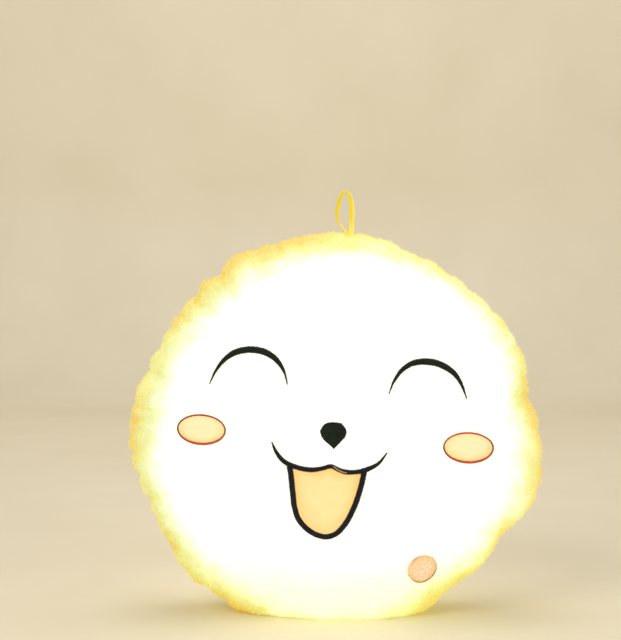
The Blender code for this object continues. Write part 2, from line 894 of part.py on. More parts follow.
def flat_row(radius, height):
    row = []
    for step in range(SWITCH_SIDES):
        angle = math.tau * step / SWITCH_SIDES
        row.append(Vector((radius * math.cos(angle), radius * math.sin(angle), height)))
    return row


def make_patch(matrix, parent, peach, ochre):
    """The sewn patch that is pressed, and the stitched edging round it."""
    radius = PATCH_RADIUS - PATCH_EDGING_WIDTH - CLEARANCE
    under = PATCH_PROUD - PATCH_WALL
    rows = [
        [Vector((0, 0, under))],
        switch_row(matrix, radius / 2, under),
        switch_row(matrix, radius, under),
        switch_row(matrix, radius, PATCH_PROUD),
        switch_row(matrix, radius / 2, PATCH_PROUD),
        [Vector((0, 0, PATCH_PROUD))],
    ]
    solid("switch_patch", closed_rows(rows), peach, parent)
    inner = PATCH_RADIUS - PATCH_EDGING_WIDTH
    top = PATCH_PROUD + PATCH_EDGING_HEIGHT
    section = (
        (inner, under),
        (inner, PATCH_PROUD),
        ((inner + PATCH_RADIUS) / 2, top),
        (PATCH_RADIUS, PATCH_PROUD),
        (PATCH_RADIUS, under),
    )
    edging = bmesh.new()
    made = [[edging.verts.new(point) for point in switch_row(matrix, *pair)] for pair in section]
    bridge_rows(edging, made, True)
    solid("patch_edging", edging, ochre, parent)


def make_switch(fill, panel, surfaces):
    """The push switch behind the patch: cap, spring, housing, board, tactile switch and cover."""
    white, steel, board_green, black, peach, ochre = surfaces
    matrix = switch_matrix()
    parent = frame_empty("switch_axis", matrix)
    make_patch(matrix, parent, peach, ochre)

    cap_radius = PATCH_RADIUS - CAP_MARGIN
    under_patch = PATCH_PROUD - PATCH_WALL - CLEARANCE
    rows = [
        [Vector((0, 0, under_patch))],
        switch_row(matrix, cap_radius / 2, under_patch),
        switch_row(matrix, cap_radius, under_patch),
        flat_row(cap_radius, -CAP_SKIRT_DEPTH),
        flat_row(cap_radius - CAP_WALL, -CAP_SKIRT_DEPTH),
        flat_row(cap_radius - CAP_WALL, -CAP_ROOF),
        flat_row(STEM_RADIUS, -CAP_ROOF),
        flat_row(STEM_RADIUS, -STEM_DEPTH),
        [Vector((0, 0, -STEM_DEPTH))],
    ]
    solid("button_cap", closed_rows(rows), white, parent)

    bore = cap_radius + CLEARANCE + CAP_MARGIN
    outer = bore + HOUSING_WALL
    plunger_top = -STEM_DEPTH - PRESS_TRAVEL - CLEARANCE
    tact_top = plunger_top - PLUNGER_HEIGHT
    board_top = tact_top - TACT_HEIGHT - CLEARANCE
    board_under = board_top - BOARD_WALL
    housing_end = board_under - LEAD_ROOM
    ledge_under = board_top + CLEARANCE
    ledge_top = ledge_under + HOUSING_LEDGE
    housing = solid("switch_housing", turned([
        (outer, -HOUSING_START),
        (bore, -HOUSING_START),
        (bore, ledge_top),
        (bore - HOUSING_LEDGE, ledge_top),
        (bore - HOUSING_LEDGE, ledge_under),
        (bore, ledge_under),
        (bore, housing_end),
        (outer, housing_end),
    ], SWITCH_SIDES), white, parent)

    plate_top = housing_end - CLEARANCE
    plate_end = plate_top - COVER_WALL
    ring_outer = bore - CLEARANCE
    ring_inner = ring_outer - COVER_RING_WALL
    cover = solid("switch_cover", turned([
        (0, plate_end),
        (outer, plate_end),
        (outer, plate_top),
        (ring_outer, plate_top),
        (ring_outer, board_under - CLEARANCE),
        (ring_inner, board_under - CLEARANCE),
        (ring_inner, plate_top),
        (0, plate_top),
    ], SWITCH_SIDES), white, parent)
    board_radius = bore - CLEARANCE
    solid("switch_board", turned([
        (0, board_top),
        (board_radius, board_top),
        (board_radius, board_under),
        (0, board_under),
    ], SWITCH_SIDES), board_green, parent)

    half = TACT_SIDE / 2
    body = box((-half, -half, tact_top - TACT_HEIGHT), (half, half, tact_top))
    tact = solid("tact_switch", body, black, parent)
    knob = cutter("plunger", turned([
        (0, plunger_top),
        (PLUNGER_RADIUS, plunger_top),
        (PLUNGER_RADIUS, tact_top - TACT_HEIGHT / 2),
        (0, tact_top - TACT_HEIGHT / 2),
    ], SWITCH_SIDES // 2), parent)
    join(tact, knob)

    top = -CAP_ROOF - CLEARANCE - SPRING_WIRE
    bottom = board_top + CLEARANCE + SPRING_WIRE
    turns = coil(SPRING_RADIUS, SPRING_RADIUS, top, bottom, SPRING_TURNS)
    tube("switch_spring", turns, SPRING_WIRE, steel, 1, parent)

    lead_height = (plate_top + board_under) / 2
    lead_hole = LEAD_RADIUS + CLEARANCE
    hole = cutter("switch_lead_hole", turned([
        (0, ring_inner - OVERRUN),
        (lead_hole, ring_inner - OVERRUN),
        (lead_hole, outer + OVERRUN),
        (0, outer + OVERRUN),
    ], SWITCH_SIDES // 2), parent)
    hole.location = (0, 0, lead_height)
    hole.rotation_euler = (-math.pi / 2, 0, 0)
    cut(housing, hole)
    cut(cover, hole)

    panel_hole = PATCH_RADIUS + PATCH_HOLE_CLEARANCE
    opening = cutter("patch_hole", turned([
        (0, OVERRUN),
        (panel_hole, OVERRUN),
        (panel_hole, -HOUSING_START - OVERRUN),
        (0, -HOUSING_START - OVERRUN),
    ], SWITCH_SIDES), parent)
    cut(panel, opening)
    room = outer + CLEARANCE
    well = cutter("switch_well", turned([
        (0, OVERRUN),
        (room, OVERRUN),
        (room, plate_end - CLEARANCE),
        (0, plate_end - CLEARANCE),
    ], SWITCH_SIDES), parent)
    cut(fill, well)
    reaches = (ring_inner - LEAD_TAIL / 2, outer, outer + LEAD_TAIL)
    return [matrix @ Vector((0, reach, lead_height)) for reach in reaches]


def coil(start_radius, end_radius, start, end, turns):
    """Points of a spring along Z."""
    count = round(turns * COIL_STEPS)
    found = []
    for step in range(count + 1):
        share = step / count
        angle = math.tau * turns * share
        radius = start_radius + (end_radius - start_radius) * share
        found.append((radius * math.cos(angle), radius * math.sin(angle), start + (end - start) * share))
    return found


# The lamp


def dome(radius, start, height):
    """The quarter section of a dome, from its rim to its top."""
    found = []
    for step in range(LAMP_DOME_STEPS):
        angle = math.pi / 2 * step / LAMP_DOME_STEPS
        found.append((radius * math.cos(angle), start + height * math.sin(angle)))
    found.append((0, start + height))
    return found


def make_lamp(surfaces):
    """The lamp: a cup, a board with its lights, and a frosted dome that faces the front."""
    white, frosted, board_green, yellow, black, steel = surfaces
    matrix = Matrix.Translation((0, 0, LAMP_HEIGHT)) @ Matrix.Rotation(math.pi / 2, 4, "X")
    parent = frame_empty("lamp_axis", matrix)
    floor = LAMP_BACK + LAMP_BASE_WALL
    rim = LAMP_BACK + LAMP_BASE_HEIGHT
    bore = LAMP_RADIUS - LAMP_BASE_WALL
    base = solid("lamp_base", turned([
        (0, LAMP_BACK),
        (LAMP_RADIUS, LAMP_BACK),
        (LAMP_RADIUS, rim),
        (bore, rim),
        (bore, floor),
        (0, floor),
    ], LAMP_SIDES), white, parent)
    board_back = floor + STANDOFF_HEIGHT + CLEARANCE
    board_front = board_back + BOARD_WALL
    board_radius = bore - 2 * CLEARANCE
    board = solid("lamp_board", turned([
        (0, board_back),
        (board_radius, board_back),
        (board_radius, board_front),
        (0, board_front),
    ], LAMP_SIDES), board_green, parent)

    places = []
    for step in range(STANDOFF_COUNT):
        angle = math.tau * (step + 0.5) / STANDOFF_COUNT
        places.append((STANDOFF_PLACE * math.cos(angle), STANDOFF_PLACE * math.sin(angle)))
    posts = bmesh.new()
    holes = bmesh.new()
    hole = SCREW_RADIUS + CLEARANCE
    hole_end = floor + CLEARANCE
    screw_end = hole_end + CLEARANCE
    for k, centre in enumerate(places):
        turned([
            (0, hole_end),
            (hole, hole_end),
            (hole, floor + STANDOFF_HEIGHT),
            (STANDOFF_RADIUS, floor + STANDOFF_HEIGHT),
            (STANDOFF_RADIUS, floor - LAMP_BASE_WALL / 2),
            (0, floor - LAMP_BASE_WALL / 2),
        ], SCREW_SIDES, posts, centre)
        turned([(0, floor), (hole, floor), (hole, rim), (0, rim)], SCREW_SIDES, holes, centre)
        head = board_front + CLEARANCE
        screw = turned([
            (0, screw_end),
            (SCREW_RADIUS, screw_end),
            (SCREW_RADIUS, head),
            (SCREW_HEAD_RADIUS, head),
            (SCREW_HEAD_RADIUS, head + SCREW_HEAD_HEIGHT),
            (0, head + SCREW_HEAD_HEIGHT),
        ], SCREW_SIDES, centre=centre)
        solid("lamp_screw_" + str(k + 1), screw, steel, parent)
    join(base, cutter("lamp_posts", posts, parent))
    screw_holes = cutter("screw_holes", holes, parent)
    cut(board, screw_holes)

    light_back = board_front + CLEARANCE
    half = LED_SIDE / 2
    for step in range(LED_COUNT):
        angle = math.tau * step / LED_COUNT
        x, y = LED_RING * math.cos(angle), LED_RING * math.sin(angle)
        light = box((x - half, y - half, light_back), (x + half, y + half, light_back + LED_HEIGHT))
        solid("light_chip_" + str(step + 1), light, yellow, parent)

    high = board_back - CLEARANCE
    low = high - DRIVER_HEIGHT
    half = DRIVER_SIDE / 2
    solid("driver_chip", box((-half, -half, low), (half, half, high)), black, parent)
    coil_profile = [(0, low), (COIL_RADIUS, low), (COIL_RADIUS, high), (0, high)]
    solid("driver_coil", turned(coil_profile, SCREW_SIDES, centre=(0, DRIVER_PLACE)), black, parent)

    seat = rim + CLEARANCE
    spigot = bore - CLEARANCE
    inner = spigot - LAMP_DOME_WALL
    rise = LAMP_DOME_HEIGHT - LAMP_DOME_WALL
    shell_outer = dome(LAMP_RADIUS - LAMP_DOME_WALL, seat + LAMP_DOME_WALL, rise)
    shell_inner = dome(inner, seat, rise)
    profile = shell_inner[::-1] + [
        (inner, board_front + SCREW_HEAD_HEIGHT / 2),
        (spigot, board_front + SCREW_HEAD_HEIGHT / 2),
        (spigot, seat),
        (LAMP_RADIUS, seat),
        (LAMP_RADIUS, seat + LAMP_DOME_WALL),
    ] + shell_outer
    solid("lamp_diffuser", turned(profile, LAMP_SIDES), frosted, parent)

    wide = LAMP_RADIUS + CLEARANCE
    shoulder = seat + LAMP_DOME_WALL + CLEARANCE
    well = cutter("lamp_well", turned([
        (0, -OVERRUN),
        (wide, -OVERRUN),
        (wide, shoulder),
        *dome(wide, shoulder, LAMP_DOME_HEIGHT),
    ], LAMP_SIDES), parent)
    return well, (matrix, base, floor + STANDOFF_HEIGHT / 2)


def lamp_entry(matrix, base, height, direction):
    """A hole in the cup's side for a lead; gives the lead's end, the wall and a point outside."""
    angle = math.radians(direction)
    bore = LAMP_RADIUS - LAMP_BASE_WALL
    hole = cutter("lead_entry_" + str(direction), turned([
        (0, bore - OVERRUN),
        (LEAD_RADIUS + CLEARANCE, bore - OVERRUN),
        (LEAD_RADIUS + CLEARANCE, LAMP_RADIUS + OVERRUN),
        (0, LAMP_RADIUS + OVERRUN),
    ], SWITCH_SIDES // 2))
    turn = Matrix.Rotation(angle, 4, "Z") @ Matrix.Rotation(math.pi / 2, 4, "Y")
    hole.matrix_world = matrix @ Matrix.Translation((0, 0, height)) @ turn
    cut(base, hole)
    along = Vector((math.cos(angle), math.sin(angle), 0))
    reaches = (bore - LEAD_TAIL / 3, LAMP_RADIUS, LAMP_RADIUS + LEAD_TAIL)
    return [matrix @ (along * reach + Vector((0, 0, height))) for reach in reaches]


def make_lead(name, points, surface, fills):
    """A lead along its route, and the channel that the wadding leaves for it."""
    route = evenly_spaced(smooth_through(points, LEAD_CURVE_STEPS), LEAD_STEP)
    tube(name, route, LEAD_RADIUS, surface)
    channel = round_channel(name + "_channel", route, LEAD_RADIUS + 2 * CLEARANCE, SCREW_SIDES)
    for fill in fills:
        cut(fill, channel)


# The zip and the battery pocket


def rear_y(x, z):
    angle = math.atan2(z - CENTRE_HEIGHT, x)
    share = min(1.0, math.hypot(x, z - CENTRE_HEIGHT) / (CUSHION_RADIUS * wave(angle)))
    return REAR_DEPTH * math.sqrt(1 - share**REAR_POWER)


CELL_PITCH = 2 * CELL_RADIUS + CELL_GAP
CASE_INNER_HALF = CELL_PITCH * (CELL_COUNT - 1) / 2 + CELL_RADIUS + CLEARANCE
CASE_HALF = CASE_INNER_HALF + CASE_WALL
CASE_INNER_LENGTH = CELL_LENGTH + CELL_NUB_LENGTH + CASE_SPRING_ROOM + CASE_PLATE_ROOM
CASE_LENGTH = CASE_INNER_LENGTH + 2 * CASE_WALL
CASE_DEPTH = CASE_FLOOR + 2 * CELL_RADIUS + COVER_PLATE + 4 * CLEARANCE + CASE_LIP
POCKET_INNER_LENGTH = CASE_LENGTH + COVER_TRAVEL + POCKET_HAND_ROOM
POCKET_LENGTH = POCKET_INNER_LENGTH + 2 * (POCKET_WALL + CLEARANCE)
POCKET_TALL = 2 * (CASE_HALF + POCKET_SIDE_ROOM + POCKET_WALL)
POCKET_DEPTH = POCKET_WALL + CLEARANCE + CASE_DEPTH + POCKET_TOP_ROOM
POCKET_END = POCKET_LENGTH / 2
POCKET_HALF = POCKET_TALL / 2
SLOT_HALF = POCKET_END - SLOT_END_ROOM
SLIDER_REST = SLIDER_START_ROOM - SLOT_HALF
ZIP_TRAVEL = -2 * SLIDER_REST - SLIDER_LENGTH / 2
TAPE_HALF_LENGTH = POCKET_END + TAPE_END
TEETH_REACH = TOOTH_LENGTH - TOOTH_OVERLAP + TEETH_CORD
TAPE_INNER = TEETH_REACH + CLEARANCE
TAPE_OUTER = TAPE_INNER + TAPE_WIDTH


def tape_front():
    """The tapes lie flat just inside the plush, where it comes nearest to them."""
    nearest = rear_y(TAPE_HALF_LENGTH, ZIP_HEIGHT - TAPE_OUTER)
    return nearest - PANEL_WALL - 2 * CLEARANCE


TAPE_FRONT = tape_front()
TAPE_BACK = TAPE_FRONT - TAPE_WALL
TEETH_MIDDLE = (TAPE_FRONT + TAPE_BACK) / 2
SLIDER_INSIDE = TEETH_THICKNESS / 2 + SLIDER_ROOM
SLIDER_HALF_WIDTH = TAPE_INNER + CLEARANCE + SLIDER_FLANGE
SLIDER_TOP = TEETH_MIDDLE + SLIDER_INSIDE + SLIDER_PLATE
PULL_ON_PLUSH = rear_y(SLOT_HALF, ZIP_HEIGHT) + CLEARANCE + PULL_WALL / 2
PULL_AXIS = max(PULL_ON_PLUSH, SLIDER_TOP + PULL_BAR_RADIUS + LUG_ROOM)
POCKET_TOP = TAPE_BACK - CLEARANCE
POCKET_BOTTOM = POCKET_TOP - POCKET_DEPTH
CASE_BOTTOM = POCKET_BOTTOM + POCKET_WALL + CLEARANCE
CASE_TOP = CASE_BOTTOM + CASE_DEPTH
CASE_START = -POCKET_END + POCKET_WALL + CLEARANCE
CASE_END = CASE_START + CASE_LENGTH
CELL_MIDDLE = CASE_BOTTOM + CASE_FLOOR + CLEARANCE + CELL_RADIUS
COVER_GROOVE_LOW = CELL_MIDDLE + CELL_RADIUS + CLEARANCE
COVER_GROOVE_HIGH = COVER_GROOVE_LOW + COVER_PLATE + 2 * CLEARANCE


def comb(upward, first, last, shift):
    """The outline of one row of teeth on its cord, in X and Z."""
    root = TOOTH_LENGTH - TOOTH_OVERLAP
    outer = ZIP_HEIGHT + upward * TEETH_REACH
    inner = ZIP_HEIGHT + upward * root
    tip = ZIP_HEIGHT - upward * TOOTH_OVERLAP
    outline = [(last, outer), (first, outer)]
    count = int((last - first - shift) / TEETH_PITCH)
    outline.append((first, inner))
    for step in range(count):
        left = first + shift + TEETH_PITCH * step + (TEETH_PITCH / 2 - TOOTH_WIDTH) / 2
        right = left + TOOTH_WIDTH
        outline += [(left, inner), (left, tip), (right, tip), (right, inner)]
    outline.append((last, inner))
    return outline


def make_zip(panel, surfaces):
    """Two tapes, two rows of teeth, the stops, and the slider with its pull."""
    tape, polymer = surfaces
    low_x, high_x = -TAPE_HALF_LENGTH, TAPE_HALF_LENGTH
    first = SLIDER_REST + SLIDER_LENGTH / 2 + CLEARANCE
    last = SLIDER_REST + SLIDER_LENGTH / 2 + ZIP_TRAVEL
    half = TEETH_THICKNESS / 2
    for name, upward, shift in (("upper", 1, 0), ("lower", -1, TEETH_PITCH / 2)):
        edges = sorted((ZIP_HEIGHT + upward * TAPE_INNER, ZIP_HEIGHT + upward * TAPE_OUTER))
        solid("zip_tape_" + name, box((low_x, TAPE_BACK, edges[0]), (high_x, TAPE_FRONT, edges[1])), tape)
        outline = comb(upward, first, last, shift)
        solid("zip_teeth_" + name, prism(outline, TEETH_MIDDLE - half, TEETH_MIDDLE + half), polymer)
    starts = (SLIDER_REST - SLIDER_LENGTH / 2 - CLEARANCE - STOP_LENGTH, last + CLEARANCE)
    for name, start in zip(("zip_stop_closed", "zip_stop_open"), starts):
        low = (start, TEETH_MIDDLE - half, ZIP_HEIGHT - TEETH_REACH)
        high = (start + STOP_LENGTH, TEETH_MIDDLE + half, ZIP_HEIGHT + TEETH_REACH)
        solid(name, box(low, high), polymer)
    make_slider(polymer)
    make_pull(polymer)

    half_height = SLIDER_HALF_WIDTH + SLOT_CLEARANCE
    corner = half_height / 2
    outline = []
    for across, up in ((1, -1), (1, 1), (-1, 1), (-1, -1)):
        start = math.atan2(up, across) - math.pi / 4
        for step in range(SLOT_CORNER_STEPS + 1):
            angle = start + math.pi / 2 * step / SLOT_CORNER_STEPS
            outline.append((
                across * (SLOT_HALF - corner) + corner * math.cos(angle),
                ZIP_HEIGHT + up * (half_height - corner) + corner * math.sin(angle),
            ))
    slot = cutter("zip_slot", prism(outline, TAPE_FRONT - OVERRUN, REAR_DEPTH + OVERRUN))
    cut(panel, slot)


def make_slider(surface):
    """The slider: two flanged plates held apart by a wedge, with a lug for the pull."""
    end = SLIDER_LENGTH / 2
    wide = SLIDER_HALF_WIDTH
    origin = Vector((SLIDER_REST, TEETH_MIDDLE, ZIP_HEIGHT))
    plate = box(origin + Vector((-end, SLIDER_INSIDE, -wide)),
                origin + Vector((end, SLIDER_INSIDE + SLIDER_PLATE, wide)))
    body = solid("zip_slider", plate, surface, origin=origin)
    pieces = [((-end, -SLIDER_INSIDE - SLIDER_PLATE, -wide), (end, -SLIDER_INSIDE, wide))]
    overlap = SLIDER_PLATE / 2
    slot = TAPE_WALL / 2 + SLIDER_TAPE_ROOM
    for near, far in ((slot, SLIDER_INSIDE + overlap), (-SLIDER_INSIDE - overlap, -slot)):
        pieces.append(((-end, near, wide - SLIDER_FLANGE), (end, far, wide)))
        pieces.append(((-end, near, -wide), (end, far, SLIDER_FLANGE - wide)))
    top = SLIDER_INSIDE + SLIDER_PLATE - overlap
    axis = PULL_AXIS - TEETH_MIDDLE
    passage = PULL_BAR_RADIUS + LUG_ROOM
    post_far = passage + LUG_POST
    for near, far in ((passage, post_far), (-post_far, -passage)):
        pieces.append(((near, top, -LUG_HALF_WIDTH), (far, axis + passage + LUG_BRIDGE, LUG_HALF_WIDTH)))
    pieces.append(((-post_far, axis + passage, -LUG_HALF_WIDTH),
                   (post_far, axis + passage + LUG_BRIDGE, LUG_HALF_WIDTH)))
    for k, (low, high) in enumerate(pieces):
        piece = box(origin + Vector(low), origin + Vector(high))
        join(body, cutter("slider_piece_" + str(k), piece, origin=origin))
    tip = -end + SLIDER_LENGTH / 3
    wedge = [
        (SLIDER_REST - end, ZIP_HEIGHT),
        (SLIDER_REST - end / 2, ZIP_HEIGHT - SLIDER_FLANGE),
        (SLIDER_REST + tip, ZIP_HEIGHT),
        (SLIDER_REST - end / 2, ZIP_HEIGHT + SLIDER_FLANGE),
    ]
    reach = SLIDER_INSIDE + overlap
    core = prism(wedge, TEETH_MIDDLE - reach, TEETH_MIDDLE + reach)
    join(body, cutter("slider_wedge", core, origin=origin))


def make_pull(surface):
    """The pull: a tab with two arms and a bar through the slider's lug."""
    origin = Vector((SLIDER_REST, PULL_AXIS, ZIP_HEIGHT))
    half = PULL_WALL / 2
    wide = PULL_WIDTH / 2
    arm_start = PULL_BAR_RADIUS + LUG_ROOM + LUG_POST + PULL_ROOM
    tab = box(origin + Vector((-PULL_LENGTH, -half, -wide)), origin + Vector((-arm_start, half, wide)))
    pull = solid("zip_pull", tab, surface, origin=origin)
    overlap = PULL_ARM / 2
    for k, side in enumerate((-1, 1)):
        edges = sorted((side * wide, side * (wide - PULL_ARM)))
        low = origin + Vector((-arm_start - overlap, -PULL_BAR_RADIUS, edges[0]))
        high = origin + Vector((PULL_BAR_RADIUS, PULL_BAR_RADIUS, edges[1]))
        join(pull, cutter("pull_arm_" + str(k), box(low, high), origin=origin))
    reach = wide - PULL_ARM / 2
    profile = [(0, -reach), (PULL_BAR_RADIUS, -reach), (PULL_BAR_RADIUS, reach), (0, reach)]
    bar = turned(profile, SCREW_SIDES)
    made = cutter("pull_bar", bar)
    made.location = origin
    join(pull, made)


def make_pocket(rear_fill, surface):
    """The fabric pocket behind the zip, open towards it."""
    outer = box((-POCKET_END, POCKET_BOTTOM, ZIP_HEIGHT - POCKET_HALF),
                (POCKET_END, POCKET_TOP, ZIP_HEIGHT + POCKET_HALF))
    pocket = solid("battery_pocket", outer, surface)
    edge_x = POCKET_END + POCKET_FLANGE
    edge_z = POCKET_HALF + POCKET_FLANGE
    flange = cutter("pocket_flange", box((-edge_x, POCKET_TOP - POCKET_WALL, ZIP_HEIGHT - edge_z),
                                         (edge_x, POCKET_TOP, ZIP_HEIGHT + edge_z)))
    inner_x = POCKET_END - POCKET_WALL
    inner_z = POCKET_HALF - POCKET_WALL
    inside = cutter("pocket_inside", box((-inner_x, POCKET_BOTTOM + POCKET_WALL, ZIP_HEIGHT - inner_z),
                                         (inner_x, POCKET_TOP + OVERRUN, ZIP_HEIGHT + inner_z)))
    join(pocket, flange)
    cut(pocket, inside)

    room_x = POCKET_END + CLEARANCE
    room_z = POCKET_HALF + CLEARANCE
    far = REAR_DEPTH + OVERRUN
    body_room = cutter("pocket_room", box((-room_x, POCKET_BOTTOM - CLEARANCE, ZIP_HEIGHT - room_z),
                                          (room_x, far, ZIP_HEIGHT + room_z)))
    lid_x = max(edge_x, TAPE_HALF_LENGTH) + CLEARANCE
    lid_z = max(edge_z, TAPE_OUTER) + CLEARANCE
    lid_room = cutter("zip_room", box((-lid_x, POCKET_TOP - POCKET_WALL - CLEARANCE, ZIP_HEIGHT - lid_z),
                                      (lid_x, far, ZIP_HEIGHT + lid_z)))
    cut(rear_fill, body_room, lid_room)
    return pocket


def make_case(surfaces):
    """The battery box, its sliding cover, three cells and their contacts."""
    white, cell_wrap, steel = surfaces
    inside_start = CASE_START + CASE_WALL
    inside_end = CASE_END - CASE_WALL
    inside_low = ZIP_HEIGHT - CASE_INNER_HALF
    inside_high = ZIP_HEIGHT + CASE_INNER_HALF
    groove_half = CASE_INNER_HALF + CASE_GROOVE
    floor = CASE_BOTTOM + CASE_FLOOR
    past_end = CASE_END + OVERRUN
    case = solid("battery_case", box((CASE_START, CASE_BOTTOM, ZIP_HEIGHT - CASE_HALF),
                                     (CASE_END, CASE_TOP, ZIP_HEIGHT + CASE_HALF)), white)
    cavity = cutter("case_cavity", box((inside_start, floor, inside_low),
                                       (inside_end, COVER_GROOVE_HIGH, inside_high)))
    groove = cutter("cover_groove", box((inside_start, COVER_GROOVE_LOW, ZIP_HEIGHT - groove_half),
                                        (past_end, COVER_GROOVE_HIGH, ZIP_HEIGHT + groove_half)))
    mouth = cutter("case_mouth", box((inside_start, COVER_GROOVE_LOW, inside_low),
                                     (past_end, CASE_TOP + OVERRUN, inside_high)))
    cut(case, cavity, groove, mouth)
    for step in range(CELL_COUNT - 1):
        middle = ZIP_HEIGHT + CELL_PITCH * (step + 1 - CELL_COUNT / 2)
        half = CASE_RIB_WALL / 2
        low = (inside_start - CASE_WALL / 2, floor - CASE_FLOOR / 2, middle - half)
        high = (inside_end + CASE_WALL / 2, floor + CASE_RIB_HEIGHT, middle + half)
        join(case, cutter("case_rib_" + str(step), box(low, high)))

    plate_half = groove_half - CLEARANCE
    plate_low = COVER_GROOVE_LOW + CLEARANCE
    plate_high = plate_low + COVER_PLATE
    origin = Vector((CASE_END, plate_low, ZIP_HEIGHT))
    plate = box((inside_start + CLEARANCE, plate_low, ZIP_HEIGHT - plate_half),
                (CASE_END, plate_high, ZIP_HEIGHT + plate_half))
    cover = solid("battery_cover", plate, white, origin=origin)
    for step in range(COVER_RIB_COUNT):
        start = CASE_END - COVER_RIB_PITCH * (step + 1) - COVER_RIB_WIDTH
        low = (start, plate_high - COVER_PLATE / 2, ZIP_HEIGHT - COVER_RIB_LENGTH / 2)
        high = (start + COVER_RIB_WIDTH, plate_high + COVER_RIB_HEIGHT, ZIP_HEIGHT + COVER_RIB_LENGTH / 2)
        join(cover, cutter("cover_rib_" + str(step), box(low, high), origin=origin))
    make_cells(cell_wrap, steel, inside_start, inside_end)


def make_cells(cell_wrap, steel, inside_start, inside_end):
    """Three cells that lie in turn end for end, with a plate at one end and a spring at the other."""
    for step in range(CELL_COUNT):
        middle = ZIP_HEIGHT + CELL_PITCH * (step - (CELL_COUNT - 1) / 2)
        facing = 1 if step % 2 else -1
        if facing < 0:
            plate_wall = inside_start
            spring_wall = inside_end
        else:
            plate_wall = inside_end
            spring_wall = inside_start
        turn = Matrix.Rotation(facing * math.pi / 2, 4, "Y")
        nub_face = plate_wall - facing * CASE_PLATE_ROOM
        at = Vector((nub_face, CELL_MIDDLE, middle))
        cell = solid("battery_" + str(step + 1), turned([
            (0, 0),
            (CELL_NUB_RADIUS, 0),
            (CELL_NUB_RADIUS, -CELL_NUB_LENGTH),
            (CELL_RADIUS, -CELL_NUB_LENGTH),
            (CELL_RADIUS, -CELL_NUB_LENGTH - CELL_LENGTH),
            (0, -CELL_NUB_LENGTH - CELL_LENGTH),
        ], CELL_SIDES), cell_wrap)
        cell.matrix_world = Matrix.Translation(at) @ turn
        half = CONTACT_SIDE / 2
        faces = sorted((plate_wall - facing * CLEARANCE, plate_wall - facing * (CLEARANCE + CONTACT_WALL)))
        plate = box((faces[0], CELL_MIDDLE - half, middle - half),
                    (faces[1], CELL_MIDDLE + half, middle + half))
        solid("contact_plate_" + str(step + 1), plate, steel)
        near = CLEARANCE + CONTACT_WIRE
        far = CASE_SPRING_ROOM - CLEARANCE - CONTACT_WIRE
        turns = coil(CONTACT_SPRING_RADIUS, CONTACT_TIP_RADIUS, near, far, CONTACT_TURNS)
        spring = tube("contact_spring_" + str(step + 1), turns, CONTACT_WIRE, steel, 1)
        spring.matrix_world = Matrix.Translation((spring_wall, CELL_MIDDLE, middle)) @ turn


def make_eyelet(pocket, fill, surface):
    """The eyelet where the lamp's lead leaves the pocket; gives the lead's first points."""
    x = CASE_START + LEAD_TAIL + EYELET_FLANGE
    y = CELL_MIDDLE
    wall_low = ZIP_HEIGHT + POCKET_HALF - POCKET_WALL
    wall_high = ZIP_HEIGHT + POCKET_HALF
    bore = LEAD_RADIUS + CLEARANCE
    neck = bore + EYELET_LIP
    flange = neck + EYELET_FLANGE
    low = wall_low - CLEARANCE
    high = wall_high + CLEARANCE
    shape = turned([
        (bore, low - EYELET_LIP),
        (flange, low - EYELET_LIP),
        (flange, low),
        (neck, low),
        (neck, high),
        (flange, high),
        (flange, high + EYELET_LIP),
        (bore, high + EYELET_LIP),
    ], SWITCH_SIDES // 2)
    eyelet = solid("lead_eyelet", shape, surface)
    eyelet.location = (x, y, 0)
    hole_radius = neck + CLEARANCE
    hole = cutter("eyelet_hole", turned([
        (0, wall_low - OVERRUN),
        (hole_radius, wall_low - OVERRUN),
        (hole_radius, wall_high + OVERRUN),
        (0, wall_high + OVERRUN),
    ], SWITCH_SIDES // 2))
    hole.location = (x, y, 0)
    cut(pocket, hole)
    room_radius = flange + CLEARANCE
    room = cutter("eyelet_room", turned([
        (0, wall_high - OVERRUN),
        (room_radius, wall_high - OVERRUN),
        (room_radius, high + EYELET_LIP + CLEARANCE),
        (0, high + EYELET_LIP + CLEARANCE),
    ], SWITCH_SIDES // 2))
    room.location = (x, y, 0)
    cut(fill, room)
    case_side = ZIP_HEIGHT + CASE_HALF
    heights = (case_side + CLEARANCE, wall_high, wall_high + LEAD_TAIL)
    return [Vector((x, y, height)) for height in heights]


